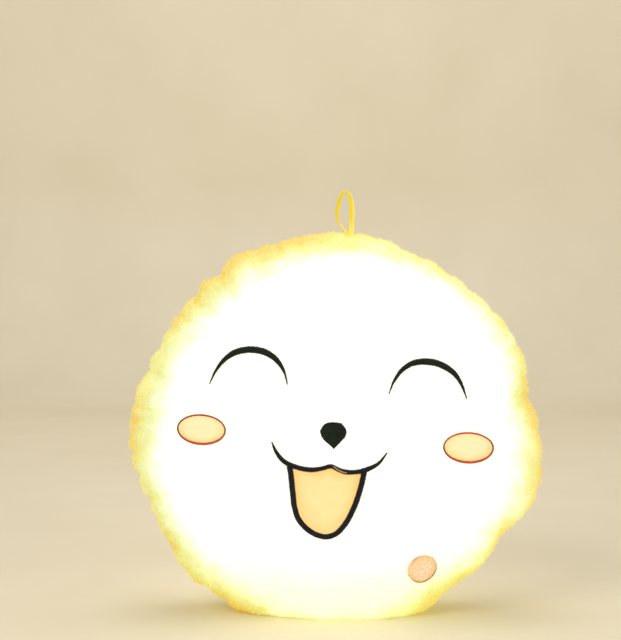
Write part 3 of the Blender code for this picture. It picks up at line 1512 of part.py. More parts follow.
def main():
    clear_scene()
    plush = material("plush", (0.98, 0.93, 0.72), 0.9)
    lining = material("lining", (0.9, 0.88, 0.8), 0.9)
    wadding = material("wadding", (0.95, 0.95, 0.93), 0.95)
    yellow_tape = material("yellow_tape", (0.96, 0.80, 0.12), 0.75)
    dark_thread = material("dark_thread", (0.03, 0.05, 0.035), 0.6)
    red_thread = material("red_thread", (0.55, 0.08, 0.10), 0.6)
    peach = material("peach_fleece", (0.98, 0.80, 0.50), 0.85)
    ochre = material("ochre_thread", (0.75, 0.48, 0.16), 0.7)
    white = material("white_plastic", (0.86, 0.86, 0.84), 0.4)
    frosted = material("frosted_plastic", (0.95, 0.95, 0.92), 0.5)
    board_green = material("circuit_board", (0.03, 0.22, 0.09), 0.45)
    yellow = material("light_chip", (0.95, 0.80, 0.25), 0.35)
    black = material("black_plastic", (0.03, 0.03, 0.03), 0.4)
    steel = material("steel", (0.62, 0.62, 0.63), 0.3, 1.0)
    rubber = material("lead_jacket", (0.85, 0.85, 0.83), 0.55)
    cell_wrap = material("cell_wrap", (0.10, 0.25, 0.16), 0.35)
    polymer = material("zip_polymer", (0.93, 0.88, 0.70), 0.4)
    zip_tape = material("zip_tape", (0.92, 0.87, 0.70), 0.85)

    front_panel = make_panel("front_panel", FRONT_FORM, plush)
    rear_panel = make_panel("rear_panel", REAR_FORM, plush)
    front_fill = make_fill("front_fill", FRONT_FORM, wadding)
    rear_fill = make_fill("rear_fill", REAR_FORM, wadding)
    make_binding(lining)
    make_loop(yellow_tape, (front_panel, rear_panel))
    make_face(dark_thread, red_thread, peach)

    switch_end = make_switch(front_fill, front_panel, (white, steel, board_green, black, peach, ochre))
    lamp_well, lamp = make_lamp((white, frosted, board_green, yellow, black, steel))
    make_zip(rear_panel, (zip_tape, polymer))
    pocket = make_pocket(rear_fill, lining)
    make_case((white, cell_wrap, steel))
    box_end = make_eyelet(pocket, rear_fill, rubber)
    make_lead("switch_lead", switch_end + lamp_entry(*lamp, -60)[::-1], rubber, (front_fill,))
    make_lead("lamp_lead", box_end + lamp_entry(*lamp, 180)[::-1], rubber, (front_fill, rear_fill))
    cut(front_fill, lamp_well)


main()
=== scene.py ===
"""Looks of the plush night light: pile, stitching, tape, zip and the glow inside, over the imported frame."""

import json
import math
from collections import namedtuple

import bmesh
import bpy
import numpy as np
from mathutils import Matrix, Vector


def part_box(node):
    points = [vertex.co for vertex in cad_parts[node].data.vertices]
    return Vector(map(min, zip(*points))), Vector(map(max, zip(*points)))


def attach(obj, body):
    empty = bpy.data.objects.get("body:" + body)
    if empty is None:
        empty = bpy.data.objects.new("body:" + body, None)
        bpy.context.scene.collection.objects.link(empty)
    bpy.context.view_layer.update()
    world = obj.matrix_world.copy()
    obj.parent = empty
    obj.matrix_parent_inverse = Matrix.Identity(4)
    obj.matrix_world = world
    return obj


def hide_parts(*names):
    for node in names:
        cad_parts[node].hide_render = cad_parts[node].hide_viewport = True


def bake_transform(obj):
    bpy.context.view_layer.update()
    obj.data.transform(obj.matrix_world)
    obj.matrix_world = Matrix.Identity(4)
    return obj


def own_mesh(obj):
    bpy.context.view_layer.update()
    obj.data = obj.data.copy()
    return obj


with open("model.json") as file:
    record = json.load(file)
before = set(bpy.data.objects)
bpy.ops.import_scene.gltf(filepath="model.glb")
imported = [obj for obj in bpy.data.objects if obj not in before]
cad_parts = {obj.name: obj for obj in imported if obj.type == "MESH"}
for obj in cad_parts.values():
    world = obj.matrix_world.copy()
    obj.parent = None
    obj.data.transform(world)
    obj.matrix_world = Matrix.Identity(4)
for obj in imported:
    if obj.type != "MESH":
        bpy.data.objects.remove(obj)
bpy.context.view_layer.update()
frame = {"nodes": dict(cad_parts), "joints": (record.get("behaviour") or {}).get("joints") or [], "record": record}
scene = bpy.context.scene

# The cushion's form, as in the part's source. Each wave of the outline is a count, a cosine and a sine share

Half = namedtuple("Half", "depth power side")
Cheek = namedtuple("Cheek", "centre across up tilt worn")
Stroke = namedtuple("Stroke", "name node line look ragged clear")
RADIUS = 0.1706
WAVES = (
    (1, -0.005, -0.056),
    (2, -0.003, 0.004),
    (3, 0.0095, 0.008),
    (4, 0.0215, -0.001),
    (5, -0.001, -0.015),
    (6, -0.004, -0.008),
    (7, -0.0115, 0.001),
)
FOOT_FLATTENED = 0.0311
FRONT = Half(0.055, 3.0, -1.0)
REAR = Half(0.052, 4.5, 1.0)
TUCK = 0.004
TUCK_REACH = 0.005
BASE_INSET = 0.0015
RIM_PROUD = 0.0009
RIM_REACH = 0.035
COVER_WALL = 0.0014
SEAM_GAP = 0.0001
ZIP_HEIGHT = 0.115
SLOPE_STEP = 2e-4

# Numbers and paths


def circle(count):
    """Angles at even steps round one turn."""
    return np.arange(count) * math.tau / count


def unit(vectors):
    return vectors / np.linalg.norm(vectors, axis=-1, keepdims=True)


def rising(value):
    """A smooth step from 0 to 1."""
    value = np.clip(value, 0, 1)
    return value * value * (3 - 2 * value)


def angle_apart(angle, degrees):
    """The shorter way round from some degrees to an angle."""
    return (angle - math.radians(degrees) + math.pi) % math.tau - math.pi


def smooth_path(points, steps):
    """A smooth curve through given points; every column is smoothed alike."""
    p = np.asarray(points, dtype=float)
    gap = np.linalg.norm(np.diff(p[:, :2], axis=0), axis=1)[:, None]
    slope = np.diff(p, axis=0) / gap
    inner = (slope[:-1] * gap[1:] + slope[1:] * gap[:-1]) / (gap[1:] + gap[:-1])
    bend = np.vstack([slope[:1], inner, slope[-1:]])
    t = (np.arange(steps) / steps)[:, None]
    found = []
    for k in range(len(p) - 1):
        arch = gap[k] * t * (1 - t) * ((1 - t) * bend[k] - t * bend[k + 1])
        found.append(p[k] + (p[k + 1] - p[k]) * rising(t) + arch)
    return np.vstack([*found, p[-1:]])


def resample(points, pitch, closed=False):
    """The path with evenly spaced points; the first two columns give its length."""
    if closed:
        points = np.vstack([points, points[:1]])
    length = np.concatenate([[0], np.cumsum(np.linalg.norm(np.diff(points[:, :2], axis=0), axis=1))])
    count = max(2, int(round(length[-1] / pitch)) + 1)
    want = np.linspace(0, length[-1], count)
    found = np.stack([np.interp(want, length, column) for column in points.T], -1)
    return found[:-1] if closed else found


def tangents(line, closed=False):
    """Directions along a flat line and across it."""
    flat = line[:, :2]
    along = unit(np.roll(flat, -1, 0) - np.roll(flat, 1, 0) if closed else np.gradient(flat, axis=0))
    return along, np.stack([-along[:, 1], along[:, 0]], -1)


def wave(angle):
    """The part's outline at an angle, as a share of its radius."""
    total = np.ones_like(np.asarray(angle, dtype=float))
    for count, cosine, sine in WAVES:
        total = total + cosine * np.cos(count * angle) + sine * np.sin(count * angle)
    return total


MIDDLE = RADIUS * float(wave(-math.pi / 2)) - FOOT_FLATTENED


def surface_y(x, z, half=FRONT):
    x, z = np.asarray(x, dtype=float), np.asarray(z, dtype=float)
    share = np.clip(np.hypot(x, z - MIDDLE) / (RADIUS * wave(np.arctan2(z - MIDDLE, x))), 0, 0.9999)
    return half.side * half.depth * np.sqrt(1 - share ** half.power)


def surface_normal(x, z, half=FRONT):
    e = SLOPE_STEP
    dx = (surface_y(x + e, z, half) - surface_y(x - e, z, half)) / (2 * e)
    dz = (surface_y(x, z + e, half) - surface_y(x, z - e, half)) / (2 * e)
    return unit(np.stack([-dx * half.side, np.full_like(dx, half.side), -dz * half.side], -1))


def on_cover(x, z, lift=0.0, half=FRONT):
    """Points over the plush surface, lifted along its normal."""
    place = np.stack([np.asarray(x, dtype=float), surface_y(x, z, half), np.asarray(z, dtype=float)], -1)
    return place + surface_normal(x, z, half) * np.asarray(lift, dtype=float)[..., None]


# Mesh helpers


def link_object(name, data):
    made = bpy.data.objects.new(name, data)
    scene.collection.objects.link(made)
    return made


def mesh_object(name, verts, faces):
    mesh = bpy.data.meshes.new(name)
    mesh.from_pydata(np.asarray(verts).reshape(-1, 3).tolist(), [], faces)
    mesh.update()
    mesh.shade_smooth()
    return link_object(name, mesh)


def points_of(mesh):
    place = np.empty(len(mesh.vertices) * 3)
    mesh.vertices.foreach_get("co", place)
    return place.reshape(-1, 3)


def mark(made, name, values):
    """Keeps a number for each vertex, for the material to read."""
    kept = made.data.attributes.new(name, "FLOAT", "POINT")
    kept.data.foreach_set("value", np.asarray(values, dtype=np.float32))


def applied(made):
    """The mesh that an object's modifiers give."""
    return bpy.data.meshes.new_from_object(made.evaluated_get(bpy.context.evaluated_depsgraph_get()))


def outward(made):
    """Turns a mesh's faces to point out of it."""
    shape = bmesh.new()
    shape.from_mesh(made.data)
    bmesh.ops.recalc_face_normals(shape, faces=shape.faces)
    shape.to_mesh(made.data)
    shape.free()
    return made


def grid_faces(rows, columns, wrap=True):
    r, c = np.meshgrid(np.arange(rows - 1), np.arange(columns if wrap else columns - 1), indexing="ij")
    here, beside = r * columns, (c + 1) % columns
    quads = np.stack([here + c, here + beside, here + columns + beside, here + columns + c], -1)
    return quads.reshape(-1, 4).tolist()


def closed_grid(name, rings, first, last):
    """A closed form from rings of points, with a single point at each end."""
    count, columns = rings.shape[:2]
    verts = np.concatenate([rings.reshape(-1, 3), [first], [last]])
    faces = grid_faces(count, columns)
    top, bottom, end = count * columns, count * columns + 1, (count - 1) * columns
    for k in range(columns):
        after = (k + 1) % columns
        faces += [[top, after, k], [bottom, end + k, end + after]]
    return outward(mesh_object(name, verts, faces))


def tube(name, rings, closed=False):
    """A tube through rings of points, closed on itself or with a flat face at each end."""
    count, sides = rings.shape[:2]
    faces = grid_faces(count, sides)
    end = (count - 1) * sides
    if closed:
        faces += [[end + k, end + (k + 1) % sides, (k + 1) % sides, k] for k in range(sides)]
    else:
        faces += [list(range(sides)), [end + k for k in reversed(range(sides))]]
    return outward(mesh_object(name, rings, faces))


def lathe(name, profile, sides):
    turn = circle(sides)
    rings = np.array([[(r * math.cos(t), r * math.sin(t), h) for t in turn] for r, h in profile[1:-1]])
    return closed_grid(name, rings, (0, 0, profile[0][1]), (0, 0, profile[-1][1]))


def strands(name, paths, sides, across, up):
    """Many short threads in one mesh: paths is (threads, points, 3), across and up are their half-axes."""
    count, points = paths.shape[:2]
    turn = circle(sides)[:, None]
    verts = paths[..., None, :] + (across[..., None, :] * np.cos(turn) + up[..., None, :] * np.sin(turn))
    step = points * sides
    starts = np.arange(count)[:, None] * step
    walls = (np.array(grid_faces(points, sides)) + starts[:, None]).reshape(-1, 4)
    near, far = starts + np.arange(sides)[::-1], starts + step - sides + np.arange(sides)
    return mesh_object(name, verts, walls.tolist() + near.tolist() + far.tolist())


def cut_away(made, cutter):
    """Cuts one mesh from another, and keeps the result as plain mesh."""
    step = made.modifiers.new("cut", "BOOLEAN")
    step.operation = "DIFFERENCE"
    step.solver = "EXACT"
    step.object = cutter
    done = applied(made)
    made.modifiers.clear()
    made.data = done
    made.data.name = made.name
    bpy.data.objects.remove(cutter, do_unlink=True)
    made.data.shade_smooth()
    made.data.set_sharp_from_angle(angle=math.radians(50))


# Materials

PLUSH_GLOW = 0.55
TINT_SPAN = 0.10
BLACK, WHITE = (0.0, 0.0, 0.0), (1.0, 1.0, 1.0)

# The plush's colour and the light that comes through it, from the middle of the face to the seam. The colour is
# partly its own and partly painted light, whiter over the lamp and yellower at the seam as the glow is
RIM_BODY = (
    (0.0, (0.95, 0.94, 0.89)), (0.85, (0.92, 0.92, 0.82)), (0.91, (0.79, 0.82, 0.62)),
    (0.95, (0.80, 0.79, 0.44)), (0.98, (0.83, 0.77, 0.37)), (1.0, (0.84, 0.72, 0.30)),
)
RIM_LIGHT = (
    (0.0, WHITE), (0.81, (1.0, 1.0, 0.95)), (0.88, (0.76, 0.83, 0.70)),
    (0.93, (0.60, 0.64, 0.36)), (0.965, (0.56, 0.52, 0.21)), (1.0, (0.52, 0.42, 0.13)),
)
# What both are multiplied by near the foot, over the tint's span: painted light, warmer and brighter low down, for
# the glow that the table throws back
FOOT_BODY = ((0.0, (0.97, 0.94, 0.74)), (0.30, (0.98, 0.96, 0.80)), (0.62, WHITE))
FOOT_LIGHT = (
    (0.0, (1.16, 1.12, 0.78)), (0.30, (1.12, 1.10, 0.86)), (0.62, (1.04, 1.04, 1.0)), (0.90, WHITE),
)
EDGE_TINT = (0.98, 0.84, 0.62)


class Nodes:
    """A material's node tree, built link by link."""

    def __init__(self, name, roughness, sheen=0.0, specular=0.5, metallic=0.0):
        self.material = bpy.data.materials.new(name)
        self.material.use_nodes = True
        self.tree = self.material.node_tree
        self.shader = self.tree.nodes["Principled BSDF"]
        self.shader.inputs["Roughness"].default_value = roughness
        self.shader.inputs["Metallic"].default_value = metallic
        self.shader.inputs["Sheen Weight"].default_value = sheen
        self.shader.inputs["Specular IOR Level"].default_value = specular
        self.place = self.node("TexCoord").outputs["Object"]

    def feed(self, socket, value):
        """Links a socket to another one, or sets it to a number, vector or colour."""
        if isinstance(value, bpy.types.NodeSocket):
            self.tree.links.new(value, socket)
        else:
            socket.default_value = (*value, 1.0) if socket.type == "RGBA" else value

    def node(self, kind, **inputs):
        made = self.tree.nodes.new("ShaderNode" + kind)
        for name, value in inputs.items():
            self.feed(made.inputs[name], value)
        return made

    def noise(self, scale, detail=3.0, stretch=None):
        place = self.place
        if stretch:
            place = self.node("Mapping", Vector=place, Scale=stretch).outputs["Vector"]
        return self.node("TexNoise", Scale=scale, Detail=detail, Vector=place).outputs["Fac"]

    def bands(self, scale, direction, distortion):
        made = self.node("TexWave", Scale=scale, Distortion=distortion, Vector=self.place)
        made.bands_direction = direction
        return made.outputs["Fac"]

    def attribute(self, name):
        made = self.node("Attribute")
        made.attribute_name = name
        return made.outputs["Fac"]

    def ramp(self, factor, *stops):
        made = self.node("ValToRGB", Fac=factor)
        ends = made.color_ramp.elements
        while len(ends) < len(stops):
            ends.new(0.5)
        for end, (at, colour) in zip(ends, stops):
            end.position = at
            end.color = (*colour, 1.0)
        return made.outputs["Color"]

    def math(self, kind, *values):
        made = self.node("Math")
        made.operation = kind
        for socket, value in zip(made.inputs, values):
            self.feed(socket, value)
        return made.outputs["Value"]

    def plus(self, one, other):
        return self.math("ADD", one, other)

    def times(self, one, other):
        return self.math("MULTIPLY", one, other)

    def less(self, one, other):
        return self.math("SUBTRACT", one, other)

    def joined(self, one, other, share):
        """Two numbers in one, where the first has this share."""
        return self.plus(self.times(one, share), self.times(other, 1 - share))

    def mix(self, factor, one, other, blend="MIX"):
        made = self.node("Mix")
        made.data_type = "RGBA"
        made.blend_type = blend
        for number, value in ((0, factor), (6, one), (7, other)):
            self.feed(made.inputs[number], value)
        return made.outputs[2]

    def tinted(self, source, tint, share=None):
        """A colour multiplied by a tint, all over or by a share that varies."""
        toned = self.mix(1.0, source, tint, "MULTIPLY")
        return toned if share is None else self.mix(share, source, toned)

    def colour(self, source):
        self.feed(self.shader.inputs["Base Color"], source)

    def bump(self, height, distance):
        made = self.node("Bump", Height=height, Distance=distance, Strength=1.0)
        self.feed(self.shader.inputs["Normal"], made.outputs["Normal"])

    def glow(self, source, strength):
        self.feed(self.shader.inputs["Emission Color"], source)
        self.shader.inputs["Emission Strength"].default_value = strength


def speckled(name, low, high, scale, roughness, bump=0.0, sheen=0.0, metallic=0.0, stretch=None,
             specular=0.5):
    """A plain finish of two close colours in a fine grain."""
    made = Nodes(name, roughness, sheen, specular, metallic)
    fine = made.noise(scale, 4.0, stretch)
    made.colour(made.ramp(fine, (0.3, low), (0.7, high)))
    if bump:
        made.bump(fine, bump)
    return made.material


def plush(name, fibre):
    """Pile lit from inside: white over the lamp, yellow only close to the seam."""
    made = Nodes(name, 0.95, sheen=0.2, specular=0.12)
    broad = made.noise(15.0, 1.0)
    warm = made.attribute("reach")
    for mottle, amount in ((made.noise(62.0), 0.12), (broad, 0.10)):
        warm = made.plus(warm, made.times(made.less(mottle, 0.5), amount))
    apart = made.node("SeparateXYZ", Vector=made.place).outputs
    # Painted light near the foot: colour and glow warmer and brighter low down
    height = made.math("DIVIDE", apart["Z"], TINT_SPAN)
    left = made.math("DIVIDE", apart["X"], -TINT_SPAN)
    # The plush's colour carries painted light: whiter over the lamp and yellower at the seam, by the same reach as
    # its glow
    body = made.tinted(made.ramp(warm, *RIM_BODY), made.ramp(height, *FOOT_BODY))
    light = made.tinted(made.ramp(warm, *RIM_LIGHT), made.ramp(height, *FOOT_LIGHT))
    light = made.tinted(light, (0.86, 1.0, 0.92), made.times(made.less(broad, 0.35), 1.6))
    # Painted shade: on its left the rim is a little darker, in colour and in glow
    outer = made.ramp(warm, (0.82, BLACK), (0.93, WHITE))
    left_shade = made.times(made.ramp(left, (0.05, BLACK), (0.42, WHITE)), outer)
    body = made.tinted(body, (0.96, 0.95, 0.90), left_shade)
    light = made.tinted(light, (0.89, 0.88, 0.82), left_shade)
    if fibre:
        # Painted shade deep in the pile: colour and glow darker and warmer towards the blades' roots
        tip = made.attribute("tip")
        body = made.mix(tip, made.tinted(body, (0.93, 0.89, 0.76)), body)
        light = made.mix(tip, made.tinted(light, (0.92, 0.88, 0.74)), light)
    else:
        grain = made.noise(900.0)
        body = made.mix(grain, made.tinted(body, (0.90, 0.84, 0.68)), body)
        made.bump(grain, 0.0006)
    made.colour(body)
    made.glow(light, PLUSH_GLOW)
    return made.material


def stitched(name, low, high, glow=None, strength=0.0, dull=None, roughness=0.55):
    """Polyester thread: a dense fibre streak, a soft gloss, and a duller colour where the mesh marks it."""
    made = Nodes(name, roughness, sheen=0.04, specular=0.22)
    fine = made.noise(2600.0)
    tint = made.joined(fine, made.noise(160.0, 2.0), 0.6)
    colour = made.ramp(tint, (0.35, low), (0.65, high))
    if dull:
        colour = made.mix(made.attribute("dull"), colour, dull)
    made.colour(colour)
    made.bump(fine, 0.00008)
    if glow:
        lit = made.ramp(tint, (0.3, glow), (0.7, tuple(c * 1.15 for c in glow)))
        if dull:
            lit = made.mix(made.attribute("dull"), lit, dull)
        made.glow(lit, strength)
    return made.material


def fleece(name, low, high, glow, strength, swirl=False):
    """Short-napped appliqué cloth with the light coming through it, darker at its edge."""
    made = Nodes(name, 0.9, sheen=0.2, specular=0.2)
    fine = made.noise(1200.0, 4.0)
    cloth = made.ramp(made.joined(fine, made.noise(90.0, 2.0), 0.5), (0.3, low), (0.7, high))
    edge = made.attribute("edge")
    if swirl:
        turns = made.math("SINE", made.times(made.attribute("swirl"), math.tau))
        broken = made.math("GREATER_THAN", made.noise(420.0, 1.0), 0.47)
        ridge = made.times(made.plus(made.times(turns, 0.5), 0.5), broken)
        cloth = made.tinted(cloth, (0.84, 0.68, 0.50), ridge)
        made.bump(made.plus(made.times(ridge, -0.5), fine), 0.0004)
    else:
        made.bump(fine, 0.0003)
    made.colour(made.tinted(cloth, EDGE_TINT, edge))
    made.glow(made.mix(edge, glow, tuple(c * s for c, s in zip(glow, (0.97, 0.80, 0.55)))), strength)
    return made.material


def webbing(name, low, high, glow=None, strength=0.0, tape_highlight=None):
    """Flat woven tape: fine warp and ribs across it, and a paler colour where the mesh marks one, a painted
    highlight.
    """
    made = Nodes(name, 0.7, sheen=0.2, specular=0.25)
    fine = made.noise(2200.0, 2.0)
    tint = made.joined(fine, made.bands(560.0, "Z", 1.5), 0.6)
    colour = made.ramp(tint, (0.25, low), (0.75, high))
    # A painted highlight: paler where the mesh marks the tape
    if tape_highlight:
        colour = made.mix(made.attribute("tape_highlight"), colour, tape_highlight)
    made.colour(colour)
    made.bump(tint, 0.00012)
    if glow:
        made.glow(made.ramp(fine, (0.3, glow), (0.7, tuple(c * 1.1 for c in glow))), strength)
    return made.material


plush_base = plush("plush_ground", False)
plush_pile = plush("plush_pile", True)
dark_thread = stitched("dark_thread", (0.002, 0.006, 0.002), (0.012, 0.022, 0.013))
navy_thread = stitched("navy_thread", (0.003, 0.004, 0.007), (0.014, 0.016, 0.022))
red_thread = stitched("red_thread", (0.46, 0.065, 0.04), (0.68, 0.13, 0.08),
                      (0.55, 0.09, 0.05), 0.10, (0.13, 0.06, 0.05))
ochre_thread = stitched("ochre_thread", (0.88, 0.56, 0.28), (0.97, 0.72, 0.44),
                        (0.80, 0.50, 0.26), 0.20, (0.28, 0.16, 0.055))
pale_thread = stitched("pale_thread", (0.42, 0.30, 0.16), (0.62, 0.48, 0.28), roughness=0.6)
cheek_cloth = fleece("cheek_cloth", (0.94, 0.70, 0.38), (0.97, 0.80, 0.50), (0.92, 0.74, 0.42), 0.36)
mouth_cloth = fleece("mouth_cloth", (0.94, 0.66, 0.30), (0.97, 0.75, 0.40), (0.90, 0.66, 0.28), 0.34)
patch_cloth = fleece("patch_cloth", (0.93, 0.69, 0.45), (0.96, 0.77, 0.56), (0.90, 0.67, 0.47), 0.29, True)
yellow_tape = webbing("yellow_tape", (0.80, 0.55, 0.01), (0.92, 0.73, 0.03),
                      (0.76, 0.60, 0.03), 0.18, (0.96, 0.90, 0.26))
zip_cloth = webbing("zip_cloth", (0.78, 0.70, 0.46), (0.90, 0.83, 0.60))

# Plain finishes by slot: two colours, grain, roughness and bump, then sheen, metal and the grain's stretch
PLAIN = (
    ("lining", (0.78, 0.75, 0.65), (0.88, 0.85, 0.76), 700.0, 0.9, 0.0002, 0.1),
    ("wadding", (0.86, 0.86, 0.84), (0.96, 0.96, 0.95), 260.0, 0.95, 0.0010, 0.2),
    ("white_plastic", (0.80, 0.80, 0.77), (0.86, 0.86, 0.84), 90.0, 0.42, 0.00003),
    ("frosted_plastic", (0.90, 0.90, 0.86), (0.96, 0.96, 0.93), 400.0, 0.55, 0.00004),
    ("circuit_board", (0.015, 0.13, 0.05), (0.04, 0.27, 0.11), 340.0, 0.4, 0.00003),
    ("light_chip", (0.90, 0.70, 0.15), (0.98, 0.85, 0.35), 500.0, 0.35, 0.00002),
    ("black_plastic", (0.015, 0.015, 0.015), (0.04, 0.04, 0.04), 500.0, 0.45, 0.00003),
    ("steel", (0.50, 0.50, 0.51), (0.66, 0.66, 0.67), 300.0, 0.3, 0.00002, 0.0, 1.0, (1, 8, 8)),
    ("lead_jacket", (0.78, 0.78, 0.75), (0.86, 0.86, 0.84), 200.0, 0.5, 0.00002),
    ("cell_wrap", (0.05, 0.16, 0.10), (0.10, 0.26, 0.17), 60.0, 0.35, 0.00002),
    ("zip_polymer", (0.84, 0.76, 0.48), (0.93, 0.86, 0.60), 180.0, 0.38, 0.00003),
)
SLOT_LOOKS = {
    "plush": plush_base,
    "yellow_tape": yellow_tape,
    "dark_thread": dark_thread,
    "red_thread": red_thread,
    "peach_fleece": cheek_cloth,
    "ochre_thread": ochre_thread,
    "zip_tape": zip_cloth,
}
SLOT_LOOKS.update((row[0], speckled(*row)) for row in PLAIN)


def dress(made, look, slot, *nodes, body="cushion"):
    """Gives a piece its finish and its body, and hides the nodes that it stands for."""
    made.data.materials.clear()
    made.data.materials.append(look)
    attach(made, body)
    if nodes:
        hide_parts(*nodes)
    return made


# The camera, at the photograph's place

camera_data = bpy.data.cameras.new("camera")
camera_data.lens = 90.2
camera_data.sensor_width = 36.0
camera_data.clip_start = 0.05
camera_data.clip_end = 20.0
camera = link_object("camera", camera_data)
scene.camera = camera
camera.location = (0.0, -1.3385, 0.3342)
pitch, yaw = math.radians(-3.756), math.radians(-0.917)
forward = Vector((math.sin(yaw) * math.cos(pitch), math.cos(yaw) * math.cos(pitch), math.sin(pitch)))
camera.rotation_euler = forward.to_track_quat("-Z", "Y").to_euler()

# The sewn cover. Where its gathers fall round the rim, in degrees, and how deep each is as a share

rng = np.random.default_rng(20)
FOLDS_AT = (
    (-66, 0.3), (-58, 0.2), (-50, 0.3), (-41, 0.4), (-34, 0.2), (-27, 0.5), (-18, 0.5), (-11, 0.4),
    (-2, 0.7), (8, 0.5), (15, 0.7), (24, 0.6), (29, 0.5), (37, 0.4), (46, 0.3), (53, 0.4), (63, 0.3),
    (70, 0.3), (78, 0.4), (86, 0.3), (94, 0.4), (101, 0.3), (108, 0.5), (114.5, 0.9), (121, 0.4), (127, 0.5),
    (137.5, 0.8), (144, 1.0), (149, 0.6), (156.5, 0.9), (163.5, 0.7), (174, 1.0), (178, 0.8), (181, 0.6),
    (187, 0.7), (194, 0.5), (201, 1.0), (207, 0.8), (212, 0.7), (217, 0.9), (224, 0.7), (231, 0.6),
    (238, 0.5), (246, 0.4),
)
FOLDS = np.radians([at for at, share in FOLDS_AT])
FOLD_DEPTHS = np.array([share for at, share in FOLDS_AT] + [FOLDS_AT[0][1]])
FOLD_LEANS = rng.uniform(0.75, 1.45, len(FOLDS) + 1)
# A full gather's height and length, what the left side adds to them, and how far it strays from straight
FOLD_HEIGHT = 0.0036
FOLD_LENGTH = 0.016
LEFT_HEIGHT = 0.0028
LEFT_LENGTH = 0.006
FOLD_DRIFT = 0.016
DRIFT_REACH = 0.03
SEAM_WIDTH = 0.009

# Slow departures of the sewn outline from the part's form: degrees, width in degrees, share of the radius
OUTLINE = (
    (313, 7, 0.024), (328, 6, -0.034), (121, 3, 0.017), (110, 7, -0.011), (68, 6, -0.014), (202, 5, -0.014),
    (226, 6, 0.014), (236, 4, -0.014), (9, 6, -0.026), (126, 3, -0.016), (145, 6, 0.004), (166, 10, -0.011),
    (346, 5, 0.008),
)
FOOT_ROUNDING = 0.003
TURN_STEP = 0.004


def outline_shift(angle):
    angle = np.asarray(angle, dtype=float)
    total = np.zeros_like(angle)
    for at, width, share in OUTLINE:
        total = total + share * np.exp(-((angle_apart(angle, at) / math.radians(width)) ** 2))
    return total


def gathers(angle, apart, side):
    """How deep the cover lies in its gathers, by angle and by distance from the seam."""
    turned = (np.asarray(angle) + math.pi / 2) % math.tau - math.pi / 2
    turned = turned + side * FOLD_DRIFT * np.sin(9 * turned) * np.clip(apart / DRIFT_REACH, 0, 1)
    edges = np.concatenate([[FOLDS[-1] - math.tau], FOLDS, [FOLDS[0] + math.tau]])
    k = np.clip(np.searchsorted(edges, turned) - 1, 0, len(edges) - 2)
    u = (turned - edges[k]) / (edges[k + 1] - edges[k])
    lean = FOLD_LEANS[k % len(FOLD_LEANS)]
    bulge = np.clip(np.sin(math.pi * np.clip(u, 0, 1) ** lean), 0, 1) ** 0.85
    near = FOLD_DEPTHS[k % len(FOLD_DEPTHS)] * (1 - u) + FOLD_DEPTHS[(k + 1) % len(FOLD_DEPTHS)] * u
    left = 0.5 - 0.5 * np.cos(turned)
    height = FOLD_HEIGHT + LEFT_HEIGHT * left
    length = FOLD_LENGTH + LEFT_LENGTH * left
    seam = 0.5 + 0.5 * rising(apart / SEAM_WIDTH)
    return height * near * (1 - bulge) * seam * np.exp(-((apart / length) ** 1.4))


def swell(angle, apart):
    """Slow unevenness of the stuffing."""
    return 0.0005 * np.sin(3 * angle + 40 * apart) + 0.0004 * np.sin(7 * angle - 55 * apart + 1.0)


def section_line(half):
    """Turns of the section from the pole to the seam, and the length along it at each."""
    even = np.arcsin(np.linspace(0.006, 0.995, 2000) ** (half.power / 2))
    turn = np.unique(np.concatenate([even, np.linspace(0.3, math.pi / 2, 4000)]))
    y = half.depth * np.cos(turn)
    r = RADIUS * np.sin(turn) ** (2 / half.power) - TUCK * np.exp(-((y / TUCK_REACH) ** 2))
    return turn, np.concatenate([[0], np.cumsum(np.hypot(np.diff(r), np.diff(y)))])


def section(half, count):
    """Turns of the section at even steps along it, and how far each lies from the seam."""
    turn, length = section_line(half)
    want = np.linspace(0, 1.0, count) ** 0.92
    return np.interp(want * length[-1], length, turn), (1 - want) * length[-1]


PUFF = {}


def puffed(side, angles, apart):
    """How far the simulated cloth moved, for rows by distance from the seam and columns by angle."""
    moved = PUFF.get(side)
    if moved is None:
        return 0.0
    rows, columns = moved.shape[:2]
    around = np.concatenate([moved, moved[:, :1]], 1)
    along = (np.asarray(angles) % math.tau) / math.tau * columns
    across = np.clip(np.asarray(apart) / SIM_REACH, 0, 1) * (rows - 1)
    j = np.clip(along.astype(int), 0, columns - 1)
    i = np.clip(across.astype(int), 0, rows - 2)
    v = (along - j)[None, :, None]
    u = (across - i)[:, None, None]
    near, far = (around[np.ix_(row, j)] * (1 - v) + around[np.ix_(row, j + 1)] * v for row in (i, i + 1))
    return near * (1 - u) + far * u


